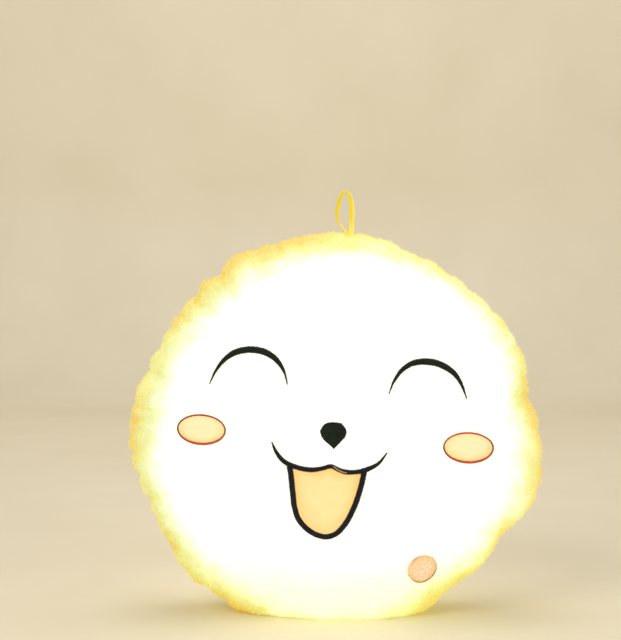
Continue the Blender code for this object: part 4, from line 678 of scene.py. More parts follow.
def cover_rows(half, angles, turns, apart, inset, least):
    """Rings of the cover: rows by turn, columns by angle."""
    a, t = np.meshgrid(angles, turns, indexing="xy")
    d = np.broadcast_to(apart[:, None], a.shape)
    rim, shift = RADIUS * wave(a), RADIUS * outline_shift(a)

    def at(turn):
        y = half.depth * np.cos(turn)
        share = np.sin(turn) ** (2 / half.power)
        out = rim * share + shift * rising((share - 0.84) / 0.16)
        return out - TUCK * np.exp(-((y / TUCK_REACH) ** 2)), y

    r0, y0 = at(t)
    r1, y1 = at(np.minimum(t + TURN_STEP, math.pi / 2 + TURN_STEP))
    r2, y2 = at(np.maximum(t - TURN_STEP, 0.5 * t))
    size = np.hypot(r1 - r2, y1 - y2)
    nr, ny = (y2 - y1) / size, (r1 - r2) / size
    deep = inset - RIM_PROUD * rising(1 - d / RIM_REACH)
    deep = deep + gathers(a, d, half.side) + swell(a, d) * np.clip(d / 0.02, 0, 1)
    r = r0 - nr * deep
    y = np.maximum(y0 - ny * deep, least)
    down = -np.sin(a)
    over = 0.0005 + inset - BASE_INSET
    floor = np.where(down > 0.01, (MIDDLE - over) / np.maximum(down, 0.01), 9.0)
    soft = FOOT_ROUNDING
    r = np.where(r > floor - 4 * soft, -soft * np.log(np.exp(-r / soft) + np.exp(-floor / soft)), r)
    place = np.stack([r * np.cos(a), half.side * y, MIDDLE + r * np.sin(a)], -1)
    place = place + puffed(half.side, angles, apart)
    place[..., 1] = half.side * np.maximum(half.side * place[..., 1], least)
    place[..., 2] = np.maximum(place[..., 2], over)
    return place


# The filling pushes the cloth out between its gathers: a simulated band on both sides of the seam

SIM_COLUMNS = 264
SIM_ROWS = 12
SIM_REACH = 0.050
SIM_FRAMES = 20
SIM_MOST = 0.0035
SIM_FOOT = 0.002
PATCH_AT = (0.4162 * RADIUS, MIDDLE - 0.6659 * RADIUS)
PATCH_ROOM = 0.022


def simulate_puff():
    """Runs the band as cloth under pressure, and keeps how far each point moved."""
    apart = np.linspace(0, SIM_REACH, SIM_ROWS)
    halves = []
    for half in (FRONT, REAR):
        turn, length = section_line(half)
        turns = np.interp(length[-1] - apart, length, turn)
        halves.append(cover_rows(half, circle(SIM_COLUMNS), turns, apart, BASE_INSET, SEAM_GAP))
    start = np.concatenate([halves[0][::-1], halves[1][1:]])
    band = mesh_object("band", start, [face[::-1] for face in grid_faces(len(start), SIM_COLUMNS)])
    x, y, z = np.moveaxis(start, -1, 0)
    held = (np.hypot(x - PATCH_AT[0], z - PATCH_AT[1]) < PATCH_ROOM) & (y < 0) | (z < SIM_FOOT)
    held[[0, SIM_ROWS - 1, -1]] = True
    band.vertex_groups.new(name="held").add(np.flatnonzero(held.ravel()).tolist(), 1.0, "REPLACE")
    step = band.modifiers.new("cloth", "CLOTH")
    cloth = step.settings
    cloth.quality = 6
    cloth.mass = 0.05
    cloth.bending_stiffness = 0.3
    cloth.use_pressure = True
    cloth.uniform_pressure_force = 6.0
    cloth.shrink_min = -0.05
    cloth.vertex_group_mass = "held"
    cloth.effector_weights.gravity = 0
    step.collision_settings.use_collision = False
    step.point_cache.frame_end = SIM_FRAMES
    for number in range(1, SIM_FRAMES + 1):
        scene.frame_set(number)
    moved = points_of(applied(band)).reshape(start.shape) - start
    bpy.data.objects.remove(band, do_unlink=True)
    scene.frame_set(1)
    out = unit(start - np.array([0, 0, MIDDLE]))
    rise = (moved * out).sum(-1, keepdims=True)
    moved = moved - rise.mean(1, keepdims=True) * out * (~held)[..., None]
    size = np.maximum(np.linalg.norm(moved, axis=-1, keepdims=True), 1e-9)
    moved = moved / size * SIM_MOST * np.tanh(size / SIM_MOST)
    PUFF[FRONT.side] = moved[:SIM_ROWS][::-1]
    PUFF[REAR.side] = moved[SIM_ROWS - 1:]


simulate_puff()

COLUMNS = 528
COVER_ROWS = 84
INNER_ROWS = 22
INNER_GAP = 0.0016


def cover(name, half):
    """Half of the cover as a shell with a wall, and the points of its outer side."""
    turns, apart = section(half, COVER_ROWS)
    angles, inner_inset = circle(COLUMNS), BASE_INSET + COVER_WALL
    outer = cover_rows(half, angles, turns, apart, BASE_INSET, SEAM_GAP)
    few = np.unique(np.linspace(0, COVER_ROWS - 1, INNER_ROWS).astype(int))
    inner = cover_rows(half, angles, turns[few], apart[few], inner_inset, INNER_GAP)[::-1]
    ends = [(0, half.side * (half.depth - inset), MIDDLE) for inset in (BASE_INSET, inner_inset)]
    return closed_grid(name, np.concatenate([outer, inner]), *ends), outer


def reach_of(points):
    """How far points lie from the middle of the face, as a share of the outline's radius there."""
    x, z = points[..., 0], points[..., 2] - MIDDLE
    angle = np.arctan2(z, x)
    return np.hypot(x, z) / (RADIUS * (wave(angle) + outline_shift(angle)))


# How far in the yellow of the rim reaches, in the glow and in the painted light of the plush's colour, round the
# outline: degrees, share of the radius
YELLOW = (
    (0, 0.028), (20, -0.024), (45, -0.026), (70, -0.008), (90, -0.003), (112, 0.020), (134, 0.026),
    (158, -0.016), (180, 0.028), (200, -0.026), (225, -0.006), (242, 0.020), (270, 0.014), (288, 0.010),
    (303, -0.012), (322, -0.030), (342, 0.028), (360, 0.028),
)
# Painted shade along the gathers' creases: the rim's yellow, in colour and glow, is drawn in along each
CREASE_WIDTH = 0.010
CREASE_LENGTH = 0.13
CREASE_BEND = 0.010
CREASE_SHADE = 0.035


def yellowing(points):
    """The reach of points, moved by the rim's uneven glow and drawn in along the creases of the gathers as painted
    shade.
    """
    angle = np.arctan2(points[..., 2] - MIDDLE, points[..., 0]) % math.tau
    reach = reach_of(points)
    shift = np.interp(np.degrees(angle), *zip(*YELLOW))
    crease = np.zeros_like(reach)
    for number, (at, depth) in enumerate(FOLDS_AT):
        bend = CREASE_BEND * math.sin(5.0 * number) * (1 - reach) / CREASE_LENGTH
        length = CREASE_LENGTH * (0.5 + 0.5 * math.sin(3.7 * number) ** 2)
        fade = np.clip(1 - (1 - reach) / length, 0, 1)
        near = np.exp(-((angle_apart(angle + bend, at) / CREASE_WIDTH) ** 2))
        crease = np.maximum(crease, depth * fade * near)
    return reach + shift * rising((reach - 0.70) / 0.15) + CREASE_SHADE * crease


def mark_reach(made):
    mark(made, "reach", yellowing(points_of(made.data)))


# The patch's frame, as in the part's source

PATCH_HOLE = 0.0134
CUTTER_TOP, CUTTER_FOOT = 0.01, -0.012
patch_out = Vector(surface_normal(*map(np.array, PATCH_AT)))
patch_radial = Vector((PATCH_AT[0], 0, PATCH_AT[1] - MIDDLE)).normalized()
patch_in = -(patch_radial - patch_radial.dot(patch_out) * patch_out).normalized()
patch_turn = Matrix((patch_in.cross(patch_out), patch_in, patch_out)).transposed().to_4x4()
PATCH_FRAME = Matrix.Translation(Vector(on_cover(*map(np.array, PATCH_AT)))) @ patch_turn


def patch_cutter():
    profile = (0, CUTTER_TOP), (PATCH_HOLE, CUTTER_TOP), (PATCH_HOLE, CUTTER_FOOT), (0, CUTTER_FOOT)
    made = lathe("patch_cutter", profile, 64)
    made.matrix_world = PATCH_FRAME
    return made


# The zip's slot, which leaves its slider half a millimetre of room above and below

slider_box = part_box("zip_slider")
SLOT_HALF_HEIGHT = (slider_box[1][2] - slider_box[0][2]) / 2 + 0.0005
SLOT_HALF = 0.0728
SLOT_FROM, SLOT_TO = 0.036, 0.062


def slot_outline(grow, count=14):
    """The slot's rounded outline, with some points to each corner."""
    corner = SLOT_HALF_HEIGHT / 2 + grow
    half_x, half_z = SLOT_HALF + grow, SLOT_HALF_HEIGHT + grow
    found = []
    for across, up in ((1, -1), (1, 1), (-1, 1), (-1, -1)):
        start = math.atan2(up, across) - math.pi / 4
        for step in range(count):
            turn = start + math.pi / 2 * step / (count - 1)
            found.append((across * (half_x - corner) + corner * math.cos(turn),
                          ZIP_HEIGHT + up * (half_z - corner) + corner * math.sin(turn)))
    return np.array(found)


def slot_cutter():
    x, z = slot_outline(0.0).T
    rings = np.stack([np.stack([x, np.full(len(x), y), z], -1) for y in (SLOT_FROM, SLOT_TO)])
    return closed_grid("slot_cutter", rings, (0, SLOT_FROM, ZIP_HEIGHT), (0, SLOT_TO, ZIP_HEIGHT))


cover_front, front_outer = cover("cover_front", FRONT)
cover_rear, rear_outer = cover("cover_rear", REAR)
cut_away(cover_front, patch_cutter())
cut_away(cover_rear, slot_cutter())
mark_reach(cover_front)
mark_reach(cover_rear)
dress(cover_front, plush_base, "plush", "front_panel")
dress(cover_rear, plush_base, "plush", "rear_panel")

# The face's lines, as in the part's source: places in shares of each line's size, then a share of its stroke,
# or for the open place in the lip its width in metres

EYE_HALF = 0.0317
EYE_STROKE = 0.0055
LEFT_EYE_AT = (-0.4156, 0.2315)
LEFT_EYE = (
    (-1.0, 0.0, 0.08), (-0.848, 0.323, 0.36), (-0.665, 0.573, 0.60), (-0.421, 0.769, 0.88),
    (0.057, 0.886, 1.0), (0.475, 0.804, 0.98), (0.775, 0.570, 0.73), (0.921, 0.320, 0.38), (1.0, 0.010, 0.08),
)
RIGHT_EYE_AT = (0.4343, 0.1741)
RIGHT_EYE = (
    (-1.0, 0.070, 0.08), (-0.862, 0.410, 0.38), (-0.687, 0.658, 0.62), (-0.445, 0.834, 0.82),
    (-0.025, 0.897, 1.0), (0.398, 0.784, 0.95), (0.715, 0.542, 0.74), (0.881, 0.263, 0.42),
    (1.0, -0.070, 0.08),
)
NOSE_HALF = 0.0107
NOSE_AT = (-0.0129, 0.0094)
NOSE = (
    (0.037, -1.30), (0.56, -0.80), (0.907, -0.40), (1.02, 0.05), (0.66, 0.56), (-0.075, 0.757),
    (-0.70, 0.58), (-1.0, 0.02), (-0.88, -0.42), (-0.50, -0.80), (0.037, -1.30),
)
MOUTH_HALF = 0.0466
MOUTH_AT = (-0.0311, -0.1583)
LIP_STROKE = 0.0040
LIP = (
    (-1.0, 0.431, 0.22), (-0.912, 0.242, 0.74), (-0.813, 0.116, 0.96), (-0.552, -0.011, 1.0),
    (-0.273, -0.049, 1.0), (-0.120, -0.024, 0.86), (0.034, 0.013, 0.90), (0.159, -0.047, 0.90),
    (0.283, -0.086, 1.0), (0.436, -0.090, 0.92), (0.690, -0.028, 1.0), (0.832, 0.046, 0.72),
    (1.0, 0.249, 0.20),
)
LIP_GAP = (
    (0.070, 0.018, 0.0003), (0.115, -0.020, 0.0008), (0.175, -0.060, 0.0010), (0.245, -0.086, 0.0009),
    (0.300, -0.098, 0.0003),
)
JAW_STROKE = 0.0047
JAW = (
    (-0.690, 0.006), (-0.676, -0.08), (-0.640, -0.412), (-0.602, -0.725), (-0.548, -0.899), (-0.418, -1.070),
    (-0.255, -1.184), (-0.056, -1.235), (0.116, -1.178), (0.255, -1.032), (0.423, -0.721), (0.530, -0.408),
    (0.594, -0.13), (0.606, -0.046),
)


def face_place(shares):
    return np.array([RADIUS * shares[0], MIDDLE + RADIUS * shares[1]])


def face_line(centre, size, table, stroke=1.0, steps=12):
    rows = np.array(table, dtype=float)
    rows[:, :2] = face_place(centre) + size * rows[:, :2]
    rows[:, 2:] *= stroke
    return smooth_path(rows, steps)


left_eye_line = face_line(LEFT_EYE_AT, EYE_HALF, LEFT_EYE, EYE_STROKE)
right_eye_line = face_line(RIGHT_EYE_AT, EYE_HALF, RIGHT_EYE, EYE_STROKE)
lip_line = face_line(MOUTH_AT, MOUTH_HALF, LIP, LIP_STROKE)
lip_gap = face_line(MOUTH_AT, MOUTH_HALF, LIP_GAP, steps=8)
jaw_line = face_line(MOUTH_AT, MOUTH_HALF, JAW)
jaw_line = np.column_stack([jaw_line, np.full(len(jaw_line), JAW_STROKE)])
nose_outline = face_line(NOSE_AT, NOSE_HALF, NOSE, steps=10)[:-1]
CHEEKS = {
    "left": Cheek(face_place((-0.6407, 0.0135)), 0.0205, 0.0126, math.radians(-1.2), 0.35),
    "right": Cheek(face_place((0.6295, -0.0703)), 0.0212, 0.0128, math.radians(-4.5), 0.0),
}


def cheek_ring(cheek, grow, count):
    turn = circle(count)
    x, z = (cheek.across + grow) * np.cos(turn), (cheek.up + grow) * np.sin(turn)
    c, s = math.cos(cheek.tilt), math.sin(cheek.tilt)
    return np.stack([cheek.centre[0] + x * c - z * s, cheek.centre[1] + x * s + z * c], -1)


def mouth_outline():
    """The jaw's inner side, closed by the lip line above it."""
    inner = jaw_line[:, :2] + tangents(jaw_line)[1] * JAW_STROKE * 0.25
    inner = inner[4:-4]
    roof = lip_line[(lip_line[:, 0] > inner[0, 0]) & (lip_line[:, 0] < inner[-1, 0])][::-1, :2]
    return np.vstack([inner, roof])


mouth_line = mouth_outline()

# Stitching. One stitch goes from side to side of its line: where its points lie, and how thick it is there

PITCH = 0.00042
EDGE_PITCH = 0.0004
EDGE_RAGGED = 0.00012
THREAD_SIDES = 6
THREAD_RADIUS = 0.00024
THREAD_SPREAD = 0.60
STITCH = np.array([-1.0, -0.88, -0.5, 0.0, 0.5, 0.88, 1.0])
STITCH_TAPER = np.array([0.5, 0.85, 1, 1, 1, 0.85, 0.5])[None, :, None]
LEAST_HALF = 0.00025
PAD_PROFILE = ((-1, -0.0009), (-0.9, 0.0001), (0, 0.0006), (0.9, 0.0001), (1, -0.0009))
PAD_SHARE = 0.44


def satin(name, line, look, slot, nodes, pitch=PITCH, body="cushion", closed=False, ragged=0.00018,
          slant=0.12, height=0.0011, low=-0.0006, seat=on_cover):
    """Satin stitches laid side by side across a line that gives place and width."""
    line = resample(line, pitch, closed)
    along, across = tangents(line, closed)
    count = len(line)
    half = np.maximum(line[:, 2] / 2, LEAST_HALF)
    near = half + ragged * rng.uniform(-1, 1, count)
    far = half + ragged * rng.uniform(-1, 1, count)
    reach = np.where(STITCH < 0, near[:, None], far[:, None]) * STITCH
    lean = slant * reach + rng.uniform(-0.12, 0.12, count)[:, None] * pitch
    flat = line[:, None, :2] + across[:, None] * reach[..., None] + along[:, None] * lean[..., None]
    tall = (np.minimum(height, 0.00035 + half * 0.42) * rng.uniform(0.92, 1.08, count))[:, None]
    lift = low + (tall - low) * (1 - np.abs(STITCH) ** 2.6) ** 0.6
    path = seat(flat[..., 0], flat[..., 1], lift)
    rise = unit(np.gradient(path, axis=1))
    up = unit(seat(flat[..., 0], flat[..., 1], lift + 0.001) - path)
    side = unit(np.cross(rise, up))
    over = np.cross(side, rise) * THREAD_RADIUS * STITCH_TAPER
    made = strands(name, path, THREAD_SIDES, side * pitch * THREAD_SPREAD * STITCH_TAPER, over)
    return dress(made, look, slot, *nodes, body=body)


def underlay(name, line):
    """The padding stitches under a satin line, as a low strip a little narrower than it."""
    line = resample(line, 0.001)
    across = tangents(line)[1]
    half = line[:, 2] * PAD_SHARE
    thin = np.minimum(1.0, half / 0.0012)
    rings = []
    for share, lift in PAD_PROFILE:
        x, z = (line[:, :2] + across * (half * share)[:, None]).T
        rings.append(on_cover(x, z, lift * thin if lift > 0 else np.full(len(line), lift)))
    return dress(tube(name, np.stack(rings, 1)), dark_thread, "dark_thread")


def filled(name, outline, look, slot, nodes, height, low=-0.0009, body="cushion", rings=16, rough=0.00016,
           fall=0.0, seat=on_cover):
    """Cloth that fills an outline, a little domed, with the nap's unevenness."""
    middle = outline.mean(0)
    shares = np.linspace(0.04, 1.0, rings)
    flat = middle + (outline - middle)[None] * shares[:, None, None]
    dome = low + (height - low) * (0.55 + 0.45 * (1 - shares**6))
    nap = rough * rng.uniform(-1, 1, flat.shape[:2]) * (shares * (shares < 0.99))[:, None]
    top = seat(flat[..., 0], flat[..., 1], dome[:, None] + nap)
    under = seat(flat[::-1][..., 0], flat[::-1][..., 1], np.full(flat.shape[:2], low))
    ends = [seat(middle[:1], middle[1:], np.array([lift]))[0] for lift in (height, low)]
    made = closed_grid(name, np.concatenate([top, under[:1], under[-1:]]), *ends)
    side = flat[..., 1] - middle[1]
    tone = np.clip((shares - 0.45) / 0.55, 0, 1)[:, None] ** 1.5 * (1 - fall * side / np.abs(side).max())
    count = len(outline)
    mark(made, "edge", np.concatenate([np.clip(tone, 0, 1).ravel(), np.ones(count), np.zeros(count + 2)]))
    return dress(made, look, slot, *nodes, body=body)


# The pile keeps clear of each stroke by its last number
STROKES = (
    Stroke("left_eye", "left_eye", left_eye_line, dark_thread, 0.00022, 0.0007),
    Stroke("right_eye", "right_eye", right_eye_line, dark_thread, 0.00028, 0.0007),
    Stroke("lip", "lip_line", lip_line, navy_thread, 0.00018, 0.0008),
    Stroke("jaw", "jaw_line", jaw_line, navy_thread, 0.00018, 0.0008),
)
for stroke in STROKES:
    satin(stroke.name + "_stitches", stroke.line, stroke.look, "dark_thread", [stroke.node],
          ragged=stroke.ragged)
    underlay(stroke.name + "_underlay", stroke.line)


def on_lip(x, z, lift):
    return on_cover(x, z, lift + 0.0011)


satin("lip_gap_stitches", lip_gap, pale_thread, "ochre_thread", [], EDGE_PITCH, seat=on_lip)


def nose_rows():
    """Satin rows that run across the nose from edge to edge, from its point to its top."""
    line = nose_outline
    rows = []
    for height in np.arange(line[:, 1].min() + 0.0004, line[:, 1].max() - 0.0002, PITCH):
        crossings = [a[0] + (b[0] - a[0]) * (height - a[1]) / (b[1] - a[1])
                     for a, b in zip(line, np.roll(line, -1, 0)) if (a[1] - height) * (b[1] - height) < 0]
        if len(crossings) >= 2:
            first, last = min(crossings), max(crossings)
            rows.append(((first + last) / 2, height, last - first))
    return np.array(rows)


satin("nose_stitches", nose_rows(), dark_thread, "dark_thread", ["nose"], slant=0.02, height=0.0012)
nose_pad = nose_outline * 0.97 + nose_outline.mean(0) * 0.03
filled("nose_underlay", nose_pad, dark_thread, "dark_thread", [], 0.0005)


def cheek_edge(side, cheek):
    """The edging, wider below, duller at its two ends and, by each cheek's own share, towards its top."""
    ring = cheek_ring(cheek, -0.0008, 260)
    share = (ring[:, 1] - cheek.centre[1]) / cheek.up
    wide = 0.0011 + 0.0003 * np.clip(share, 0, 1) ** 2 + 0.0011 * np.clip(-share, 0, 1) ** 1.5
    made = satin(side + "_cheek_stitches", np.column_stack([ring, wide]), red_thread, "red_thread",
                 [side + "_cheek_edging"], EDGE_PITCH, closed=True, ragged=EDGE_RAGGED, height=0.0008,
                 low=-0.0004)
    share = (points_of(made.data)[:, 2] - cheek.centre[1]) / cheek.up
    ends = np.clip(1 - np.abs(share) / 0.75, 0, 1)
    mark(made, "dull", 0.9 * ends + cheek.worn * np.clip(share + 0.3, 0, 1))


for side, cheek in CHEEKS.items():
    filled(side + "_cheek_cloth", cheek_ring(cheek, -0.0006, 90), cheek_cloth, "peach_fleece",
           [side + "_cheek"], 0.0003, fall=0.8)
    cheek_edge(side, cheek)
filled("mouth_cloth", resample(mouth_line, 0.0015, closed=True), mouth_cloth, "peach_fleece", ["mouth_fill"],
       0.0002, rings=26, fall=-0.4)

# The press patch

PATCH_EDGE = 0.0128
PATCH_INNER = PATCH_EDGE - 0.0008
RING_PITCH = 0.0021
HEM_RADIUS = 0.00045
patch_axes = np.array(PATCH_FRAME)[:3]


def on_patch(u, v, lift):
    """Points of the patch's plane, moved along its axis onto the plush surface."""
    across, up, out, start = patch_axes.T
    start = start + np.asarray(u)[..., None] * across + np.asarray(v)[..., None] * up
    rise = np.zeros(start.shape[:-1])
    for _ in range(8):
        at = start + rise[..., None] * out
        n = surface_normal(at[..., 0], at[..., 2])
        rise = rise - (at[..., 1] - surface_y(at[..., 0], at[..., 2])) * n[..., 1] / (n @ out)
    return start + (rise + lift)[..., None] * out


def patch_ring(count):
    turn = circle(count)
    return np.stack([np.cos(turn), np.sin(turn)], -1) * PATCH_INNER


def mark_dull_arcs(made):
    """The edging is duller along its lower right and in one short stretch at its upper left."""
    apart = points_of(made.data) - patch_axes[:, 3]
    angle = np.degrees(np.arctan2(apart[:, 2], apart[:, 0]))
    low = np.exp(-(((angle + 62 + 180) % 360 - 180) / 68) ** 4)
    high = np.exp(-(((angle - 122 + 180) % 360 - 180) / 16) ** 2)
    mark(made, "dull", 0.9 * np.maximum(low, 0.5 * high))


def mark_swirl(made):
    """The wobbling rings in which the patch is stitched down."""
    across, up, _, start = patch_axes.T
    apart = points_of(made.data) - start
    u, v = apart @ across, apart @ up
    turn, far = np.arctan2(v, u), np.hypot(u, v)
    wobble = 0.20 * np.sin(3 * turn + 0.6) + 0.12 * np.sin(5 * turn + 2.0)
    mark(made, "swirl", far / RING_PITCH + wobble * np.clip(far / 0.004, 0, 1))


def hole_hem():
    """The rolled edge of the hole that the patch sits in."""
    turn, around = circle(160)[:, None], circle(10)
    out = PATCH_HOLE - 0.0001 + HEM_RADIUS * np.cos(around)
    lift = -BASE_INSET - 0.0002 + 0.0010 * np.sin(around)
    made = tube("patch_hole_hem", on_patch(out * np.cos(turn), out * np.sin(turn), lift), closed=True)
    mark_reach(made)
    dress(made, plush_base, "plush")


patch = filled("patch_cloth", patch_ring(80), patch_cloth, "peach_fleece", ["switch_patch"], 0.0009, 0.0003,
               body="button", rings=24, rough=0.00010, seat=on_patch)
edging = satin("patch_stitches", np.column_stack([patch_ring(240), np.full(240, 0.0013)]), ochre_thread,
               "ochre_thread", ["patch_edging"], EDGE_PITCH, body="button", closed=True, ragged=EDGE_RAGGED,
               height=0.0014, low=0.0005, seat=on_patch)
mark_dull_arcs(edging)
mark_swirl(patch)
hole_hem()

# The pile

BLADE_ROOT = 0.0003
DROOP = np.array([0, 0, -0.12])


def scatter(outer, count, seed, rows):
    """Root points spread evenly over a cover's outer rings, with the surface's normals there."""
    local = np.random.default_rng(seed)
    first, last = (int(share * (outer.shape[0] - 1)) for share in rows)
    ahead = np.roll(outer, -1, 1)
    a, b, c, d = outer[first:last], outer[first + 1:last + 1], ahead[first + 1:last + 1], ahead[first:last]
    normal = np.cross(c - a, d - b)
    area = np.linalg.norm(normal, axis=-1)
    chance = (area / area.sum()).ravel()
    pick = local.choice(len(chance), count, p=chance)
    u, v = local.uniform(0, 1, (2, count, 1))
    a, b, c, d = (q.reshape(-1, 3)[pick] for q in (a, b, c, d))
    root = (a * (1 - u) + b * u) * (1 - v) + (d * (1 - u) + c * u) * v
    normal = (normal / np.maximum(area, 1e-12)[..., None]).reshape(-1, 3)[pick]
    outwards = root - np.array([0, 0, MIDDLE])
    return root, normal * np.sign((normal * outwards).sum(-1, keepdims=True)), local


def field(root, scale, seed):
    """A smooth, seeded direction for each point, so that neighbours lean together."""
    local = np.random.default_rng(seed)
    total = np.zeros_like(root)
    for _ in range(7):
        wave_vector = local.normal(size=3)
        wave_vector *= scale * local.uniform(0.7, 1.4) / np.linalg.norm(wave_vector)
        total += local.normal(size=3) * np.sin(root @ wave_vector + local.uniform(0, math.tau))[:, None]
    return total / math.sqrt(7)


def pile(name, outer, count, seed, length, width, spread, rows, keep=None):
    """Short blades of pile, each rooted in the cover and leaning with its neighbours."""
    root, normal, local = scatter(outer, count, seed, rows)
    if keep:
        kept = keep(root)
        root, normal = root[kept], normal[kept]
    count = len(root)
    lean = 0.55 * field(root, 900.0, seed + 1) + 0.40 * field(root, 260.0, seed + 2)
    lean = lean + spread * local.normal(size=root.shape)
    lean -= (lean * normal).sum(-1, keepdims=True) * normal
    reach = length * local.uniform(0.55, 1.35, (count, 1))
    grow = unit(normal + lean * 0.62)
    curl = unit(normal * 0.9 + lean * 1.1 + DROOP)
    side = unit(np.cross(grow, local.normal(size=root.shape)))
    side = side * width * local.uniform(0.7, 1.3, (count, 1)) / 2
    start = root - normal * BLADE_ROOT
    middle = start + grow * reach * 0.55
    tip = middle + curl * reach * 0.45
    verts = np.stack([start - side, start + side, middle + side * 0.85, middle - side * 0.85, tip], 1)
    verts[..., 2] = np.maximum(verts[..., 2], 0.0001)
    base = np.arange(count)[:, None] * 5
    made = mesh_object(name, verts, (base + [0, 1, 2, 3]).tolist() + (base + [3, 2, 4]).tolist())
    mark(made, "tip", np.tile([0, 0, 0.55, 0.55, 1.0], count))
    mark(made, "reach", np.repeat(yellowing(root), 5))
    return dress(made, plush_pile, "plush")


def inside(line, points):
    """Which points lie within a closed outline."""
    x, z = points.T
    found = np.zeros(len(points), dtype=bool)
    for a, b in zip(line, np.roll(line, -1, 0)):
        cross = (a[1] > z) != (b[1] > z)
        at = a[0] + (b[0] - a[0]) * (z - a[1]) / (b[1] - a[1] if b[1] != a[1] else 1e-9)
        found ^= cross & (x < at)
    return found


def bare_of_stitches(root):
    """Which roots lie clear of the stitches, the appliqué and the patch's hole."""
    flat = root[:, [0, 2]]
    keep = np.ones(len(root), dtype=bool)
    for stroke in STROKES:
        dense = resample(stroke.line, 0.0012)
        for part in range(0, len(flat), 20000):
            apart = np.linalg.norm(flat[part:part + 20000, None] - dense[None, :, :2], axis=-1)
            keep[part:part + 20000] &= (apart - dense[None, :, 2] / 2).min(1) > stroke.clear
    for line in (nose_outline, mouth_line, *(cheek_ring(cheek, 0.0007, 60) for cheek in CHEEKS.values())):
        keep &= ~inside(line, flat)
    near = root - patch_axes[:, 3]
    near = near - (near @ patch_axes[:, 2])[:, None] * patch_axes[:, 2]
    return keep & (np.linalg.norm(near, axis=-1) > PATCH_HOLE + 0.0002)


def clear_of_slot(root):
    x, z = np.abs(root[:, 0]), np.abs(root[:, 2] - ZIP_HEIGHT)
    return (x > SLOT_HALF + 0.002) | (z > SLOT_HALF_HEIGHT + 0.002)


# Each pile's cover, count, seed, length, width and spread, its share of the rows, and where it may grow
FACE_ROWS, RIM_ROWS, WISP_ROWS = (0.0, 0.72), (0.70, 1.0), (0.84, 1.0)
PILES = (
    ("pile_face_a", front_outer, 62000, 31, 0.0024, 0.00034, 0.30, FACE_ROWS, bare_of_stitches),
    ("pile_face_b", front_outer, 62000, 32, 0.0022, 0.00030, 0.35, FACE_ROWS, bare_of_stitches),
    ("pile_rim_front", front_outer, 90000, 33, 0.0018, 0.00030, 0.42, RIM_ROWS, bare_of_stitches),
    ("pile_rim_rear", rear_outer, 90000, 34, 0.0019, 0.00030, 0.42, RIM_ROWS, None),
    ("pile_wisps", front_outer, 9000, 36, 0.0032, 0.00040, 0.55, WISP_ROWS, bare_of_stitches),
    ("pile_back", rear_outer, 80000, 35, 0.0024, 0.00036, 0.30, FACE_ROWS, clear_of_slot),
)
thin = 1.0
for name, outer, count, *rest in PILES:
    pile(name, outer, int(count * thin), *rest)

# The hanging loop: places in shares of its height from its hinge, depth in metres, and twist in degrees

joints = {joint["name"]: joint for joint in frame["joints"]}
hinge = joints["loop_swing"]["pos_m"]
LOOP_HEIGHT = 0.0333
LOOP_PITCH = 0.00025
TAPE_HALF_WIDTH = 0.00205
TAPE_HALF_WALL = 0.00050
LOOP = (
    (0.016, -0.27, -0.00064, 0), (0.030, -0.13, -0.00064, 0), (0.052, 0.0, -0.0004, 0), (0.063, 0.25, 0, 0),
    (0.063, 0.50, 0, 4), (0.049, 0.74, 0, 18), (0.012, 0.89, 0, 44), (-0.060, 0.98, 0, 82),
    (-0.134, 0.97, 0, 112), (-0.203, 0.87, 0, 132), (-0.253, 0.74, 0, 141), (-0.291, 0.58, 0, 142),
    (-0.306, 0.42, 0, 131), (-0.272, 0.26, 0, 117), (-0.190, 0.12, 0.0002, 107), (-0.095, 0.0, 0.0004, 114),
    (-0.040, -0.13, 0.00064, 180), (-0.025, -0.27, 0.00064, 180),
)


def make_loop():
    """The tape, twisted along its way, with both its ends in the seam."""
    rows = np.array(LOOP, dtype=float)
    rows[:, :2] = (hinge[0], hinge[2]) + LOOP_HEIGHT * rows[:, :2]
    line = resample(smooth_path(rows, 10), LOOP_PITCH)
    place = line[:, [0, 2, 1]]
    along = unit(np.gradient(place, axis=0))
    flat = unit(np.cross(along, np.array([0.0, 1.0, 0.0])))
    twist = np.radians(line[:, 3])[:, None]
    wide = -flat * np.cos(twist) + np.cross(flat, along) * np.sin(twist)
    wall = np.cross(along, wide)
    c, s = np.cos(circle(16)), np.sin(circle(16))
    across = np.abs(c) ** 0.45 * np.sign(c)
    thick = np.abs(s) ** 0.7 * np.sign(s) * TAPE_HALF_WALL * (1 + 0.10 * (np.abs(c) > 0.85))
    rib = 1 + 0.05 * np.sin(np.arange(len(line)) * math.tau / 4)[:, None]
    ring = place[:, None] + wide[:, None] * (across * TAPE_HALF_WIDTH)[:, None]
    made = tube("loop_tape", ring + wall[:, None] * (thick * rib)[..., None])
    # Painted highlight on the tape: paler along both edges and, by up to half, near its ends in the seam
    edge = np.clip((across - 0.35) / 0.45, 0, 1)
    root = np.clip((hinge[2] + 0.3 * LOOP_HEIGHT - place[:, 2]) / (0.5 * LOOP_HEIGHT), 0, 0.5)
    mark(made, "tape_highlight", np.maximum(edge, root[:, None]).ravel())
    made.data.materials.append(yellow_tape)
    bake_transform(made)
    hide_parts("hanging_loop", "loop_anchor")


make_loop()

# The zip: woven tapes, and a rolled hem round its slot

TAPES_APART = 0.00015
WEAVE = 0.00006
WEAVE_ALONG, WEAVE_UP = 0.0016, 0.0010
HEM_PITCH = 0.0012
HEM_DEPTH = 0.0014


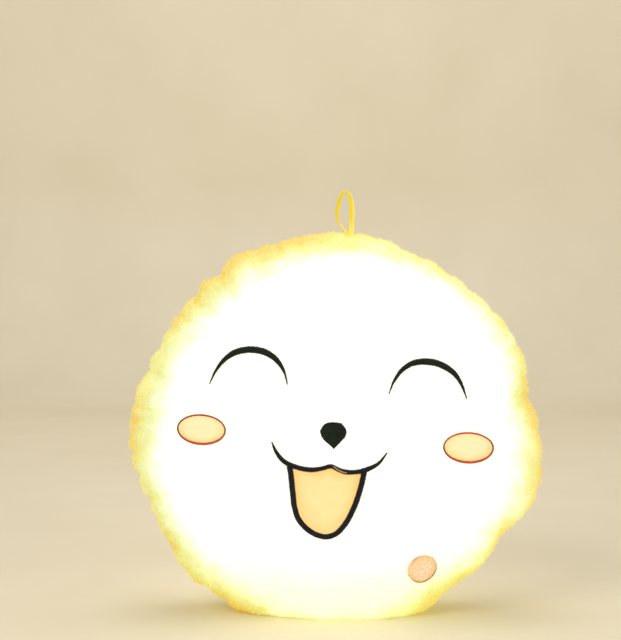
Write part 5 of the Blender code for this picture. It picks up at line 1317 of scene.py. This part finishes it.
def zip_tape(name, node):
    """One side of the zip's tape; past the end stops the two sides lie edge to edge."""
    low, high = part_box(node)
    x, z = np.meshgrid(np.linspace(low[0], high[0], 411), np.linspace(low[2], high[2], 23), indexing="ij")
    past = np.maximum(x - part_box("zip_stop_open")[1][0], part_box("zip_stop_closed")[0][0] - x)
    inner, outer = (low[2], high[2]) if low[2] > ZIP_HEIGHT else (high[2], low[2])
    gap = inner - ZIP_HEIGHT - math.copysign(TAPES_APART, inner - ZIP_HEIGHT)
    z = z - gap * np.clip(past / 0.0004 - 1, 0, 1) * (z - outer) / (inner - outer)
    weave = WEAVE * (np.cos(x * math.tau / WEAVE_ALONG) * np.cos(z * math.tau / WEAVE_UP))
    front, back = (np.stack([x, level + weave, z], -1) for level in (high[1] - 0.0001, low[1] + 0.0001))
    dress(tube(name, np.concatenate([front, back[:, ::-1]], 1)), zip_cloth, "zip_tape", node)


zip_tape("zip_tape_upper_cloth", "zip_tape_upper")
zip_tape("zip_tape_lower_cloth", "zip_tape_lower")


def slot_hem():
    """The rolled edge round the slot."""
    x, z = resample(slot_outline(0.0012, 10), HEM_PITCH, closed=True).T
    place = on_cover(x, z, np.full(len(x), -HEM_DEPTH), REAR)
    along = unit(np.roll(place, -1, 0) - np.roll(place, 1, 0))
    up = surface_normal(x, z, REAR)
    side = unit(np.cross(along, up))
    turn = circle(10)[:, None]
    size = 0.0010 * (1 + 0.06 * np.sin(np.arange(len(x)) * math.tau / 3))[:, None, None]
    rings = place[:, None] + size * (side[:, None] * np.cos(turn) + up[:, None] * np.sin(turn))
    dress(tube("slot_hem", rings, closed=True), zip_cloth, "plush")


slot_hem()

# Soft pieces inside the cover


def softened(name, node, slot, cuts, amount, scale, under=0.0):
    """An inner piece with the node's own form, cut finer, a little uneven and drawn in under the gathers."""
    shape = bmesh.new()
    shape.from_mesh(frame["nodes"][node].data)
    bmesh.ops.remove_doubles(shape, verts=shape.verts, dist=1e-6)
    for _ in range(cuts):
        bmesh.ops.triangulate(shape, faces=shape.faces)
        edges = [edge for edge in shape.edges if edge.calc_length() > scale]
        bmesh.ops.subdivide_edges(shape, edges=edges, cuts=1, use_grid_fill=True)
    shape.normal_update()
    verts = np.array([v.co[:] for v in shape.verts])
    normals = np.array([v.normal[:] for v in shape.verts])
    depth = amount * (0.5 + 0.5 * np.clip(field(verts, 420.0, 77)[:, 0], -1, 1))
    out = verts - np.array([0, 0, MIDDLE])
    out[:, 1] = 0
    out /= np.maximum(np.linalg.norm(out, axis=1, keepdims=True), 1e-9)
    reach = reach_of(verts)
    depth += under * np.clip((reach - 0.62) / 0.16, 0, 1) * np.clip((normals * out).sum(1), 0, 1)
    drawn = np.minimum(outline_shift(np.arctan2(verts[:, 2] - MIDDLE, verts[:, 0])), 0)
    drawn = RADIUS * drawn * rising((reach - 0.70) / 0.2)
    for vert, place in zip(shape.verts, verts - normals * depth[:, None] + out * drawn[:, None]):
        vert.co = place
    mesh = bpy.data.meshes.new(name)
    shape.to_mesh(mesh)
    shape.free()
    mesh.shade_smooth()
    mesh.set_sharp_from_angle(angle=math.radians(40))
    return dress(link_object(name, mesh), SLOT_LOOKS[slot], slot, node)


for half in ("front", "rear"):
    wad = softened("wadding_" + half, half + "_fill", "wadding", 4, 0.0010, 0.006, 0.0080)
softened("pocket_cloth", "battery_pocket", "lining", 3, 0.00012, 0.004)
softened("binding_cloth", "seam_binding", "lining", 2, 0.00010, 0.004)


def press_spring():
    """The switch's return spring, which shortens as the button goes in, copied here at rest into a mesh of its
    own.
    """
    node = frame["nodes"]["switch_spring"]
    made = link_object("press_spring", node.data.copy())
    made.matrix_world = node.matrix_world
    dress(made, SLOT_LOOKS["steel"], "steel", "switch_spring")
    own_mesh(made)


press_spring()

# Carried-over nodes take a finish by their slot

for entry in frame["record"]["subparts"]:
    node = frame["nodes"].get(entry["node"])
    if node is None or node.hide_render:
        continue
    look = SLOT_LOOKS[entry["material_slot"]]
    for place in node.material_slots:
        place.material = look
    if not node.material_slots:
        node.data.materials.append(look)

# Floor, backdrop and light

FLOOR_FRONT, FLOOR_BACK, FLOOR_HALF = -3.0, 1.4, 4.0
SWEEP_RADIUS = 0.4
WALL_TOP = 3.0


def sweep_floor():
    """A pale table that turns up into a plain backdrop behind the object."""
    profile = [(FLOOR_FRONT, 0.0), (FLOOR_BACK, 0.0)]
    for k in range(1, 17):
        turn = math.pi / 2 * k / 16
        profile.append((FLOOR_BACK + SWEEP_RADIUS * math.sin(turn), SWEEP_RADIUS * (1 - math.cos(turn))))
    profile.append((FLOOR_BACK + SWEEP_RADIUS, WALL_TOP))
    rows = [[(x, y, z) for x in (-FLOOR_HALF, FLOOR_HALF)] for y, z in profile]
    made = outward(mesh_object("floor", rows, grid_faces(len(profile), 2, wrap=False)))
    look = speckled("floor", (0.77, 0.69, 0.52), (0.81, 0.73, 0.56), 6.0, 0.55, specular=0.3)
    made.data.materials.append(look)


sweep_floor()


def lamp(name, place, target, size, power, colour):
    data = bpy.data.lights.new(name, "AREA")
    data.shape = "DISK"
    data.size = size
    data.energy = power
    data.color = colour
    made = link_object(name, data)
    made.location = place
    made.rotation_euler = (Vector(target) - Vector(place)).to_track_quat("-Z", "Y").to_euler()


lamp("key", (-1.2, -1.6, 1.6), (0, 0, 0.15), 1.4, 22.0, (1.0, 0.98, 0.95))
lamp("fill", (1.5, -1.3, 0.9), (0, 0, 0.15), 1.6, 10.0, (1.0, 0.98, 0.96))
lamp("top", (0.0, 0.1, 2.0), (0, 0, 0.15), 1.5, 8.0, (1.0, 1.0, 1.0))
lamp("backdrop", (0.0, 0.5, 1.9), (0, 1.8, 0.5), 1.6, 9.0, (1.0, 0.97, 0.92))
world = bpy.data.worlds.new("world")
scene.world = world
world.use_nodes = True
world.node_tree.nodes["Background"].inputs["Color"].default_value = (1.0, 0.985, 0.96, 1.0)
world.node_tree.nodes["Background"].inputs["Strength"].default_value = 0.38

scene.view_settings.view_transform = "Standard"
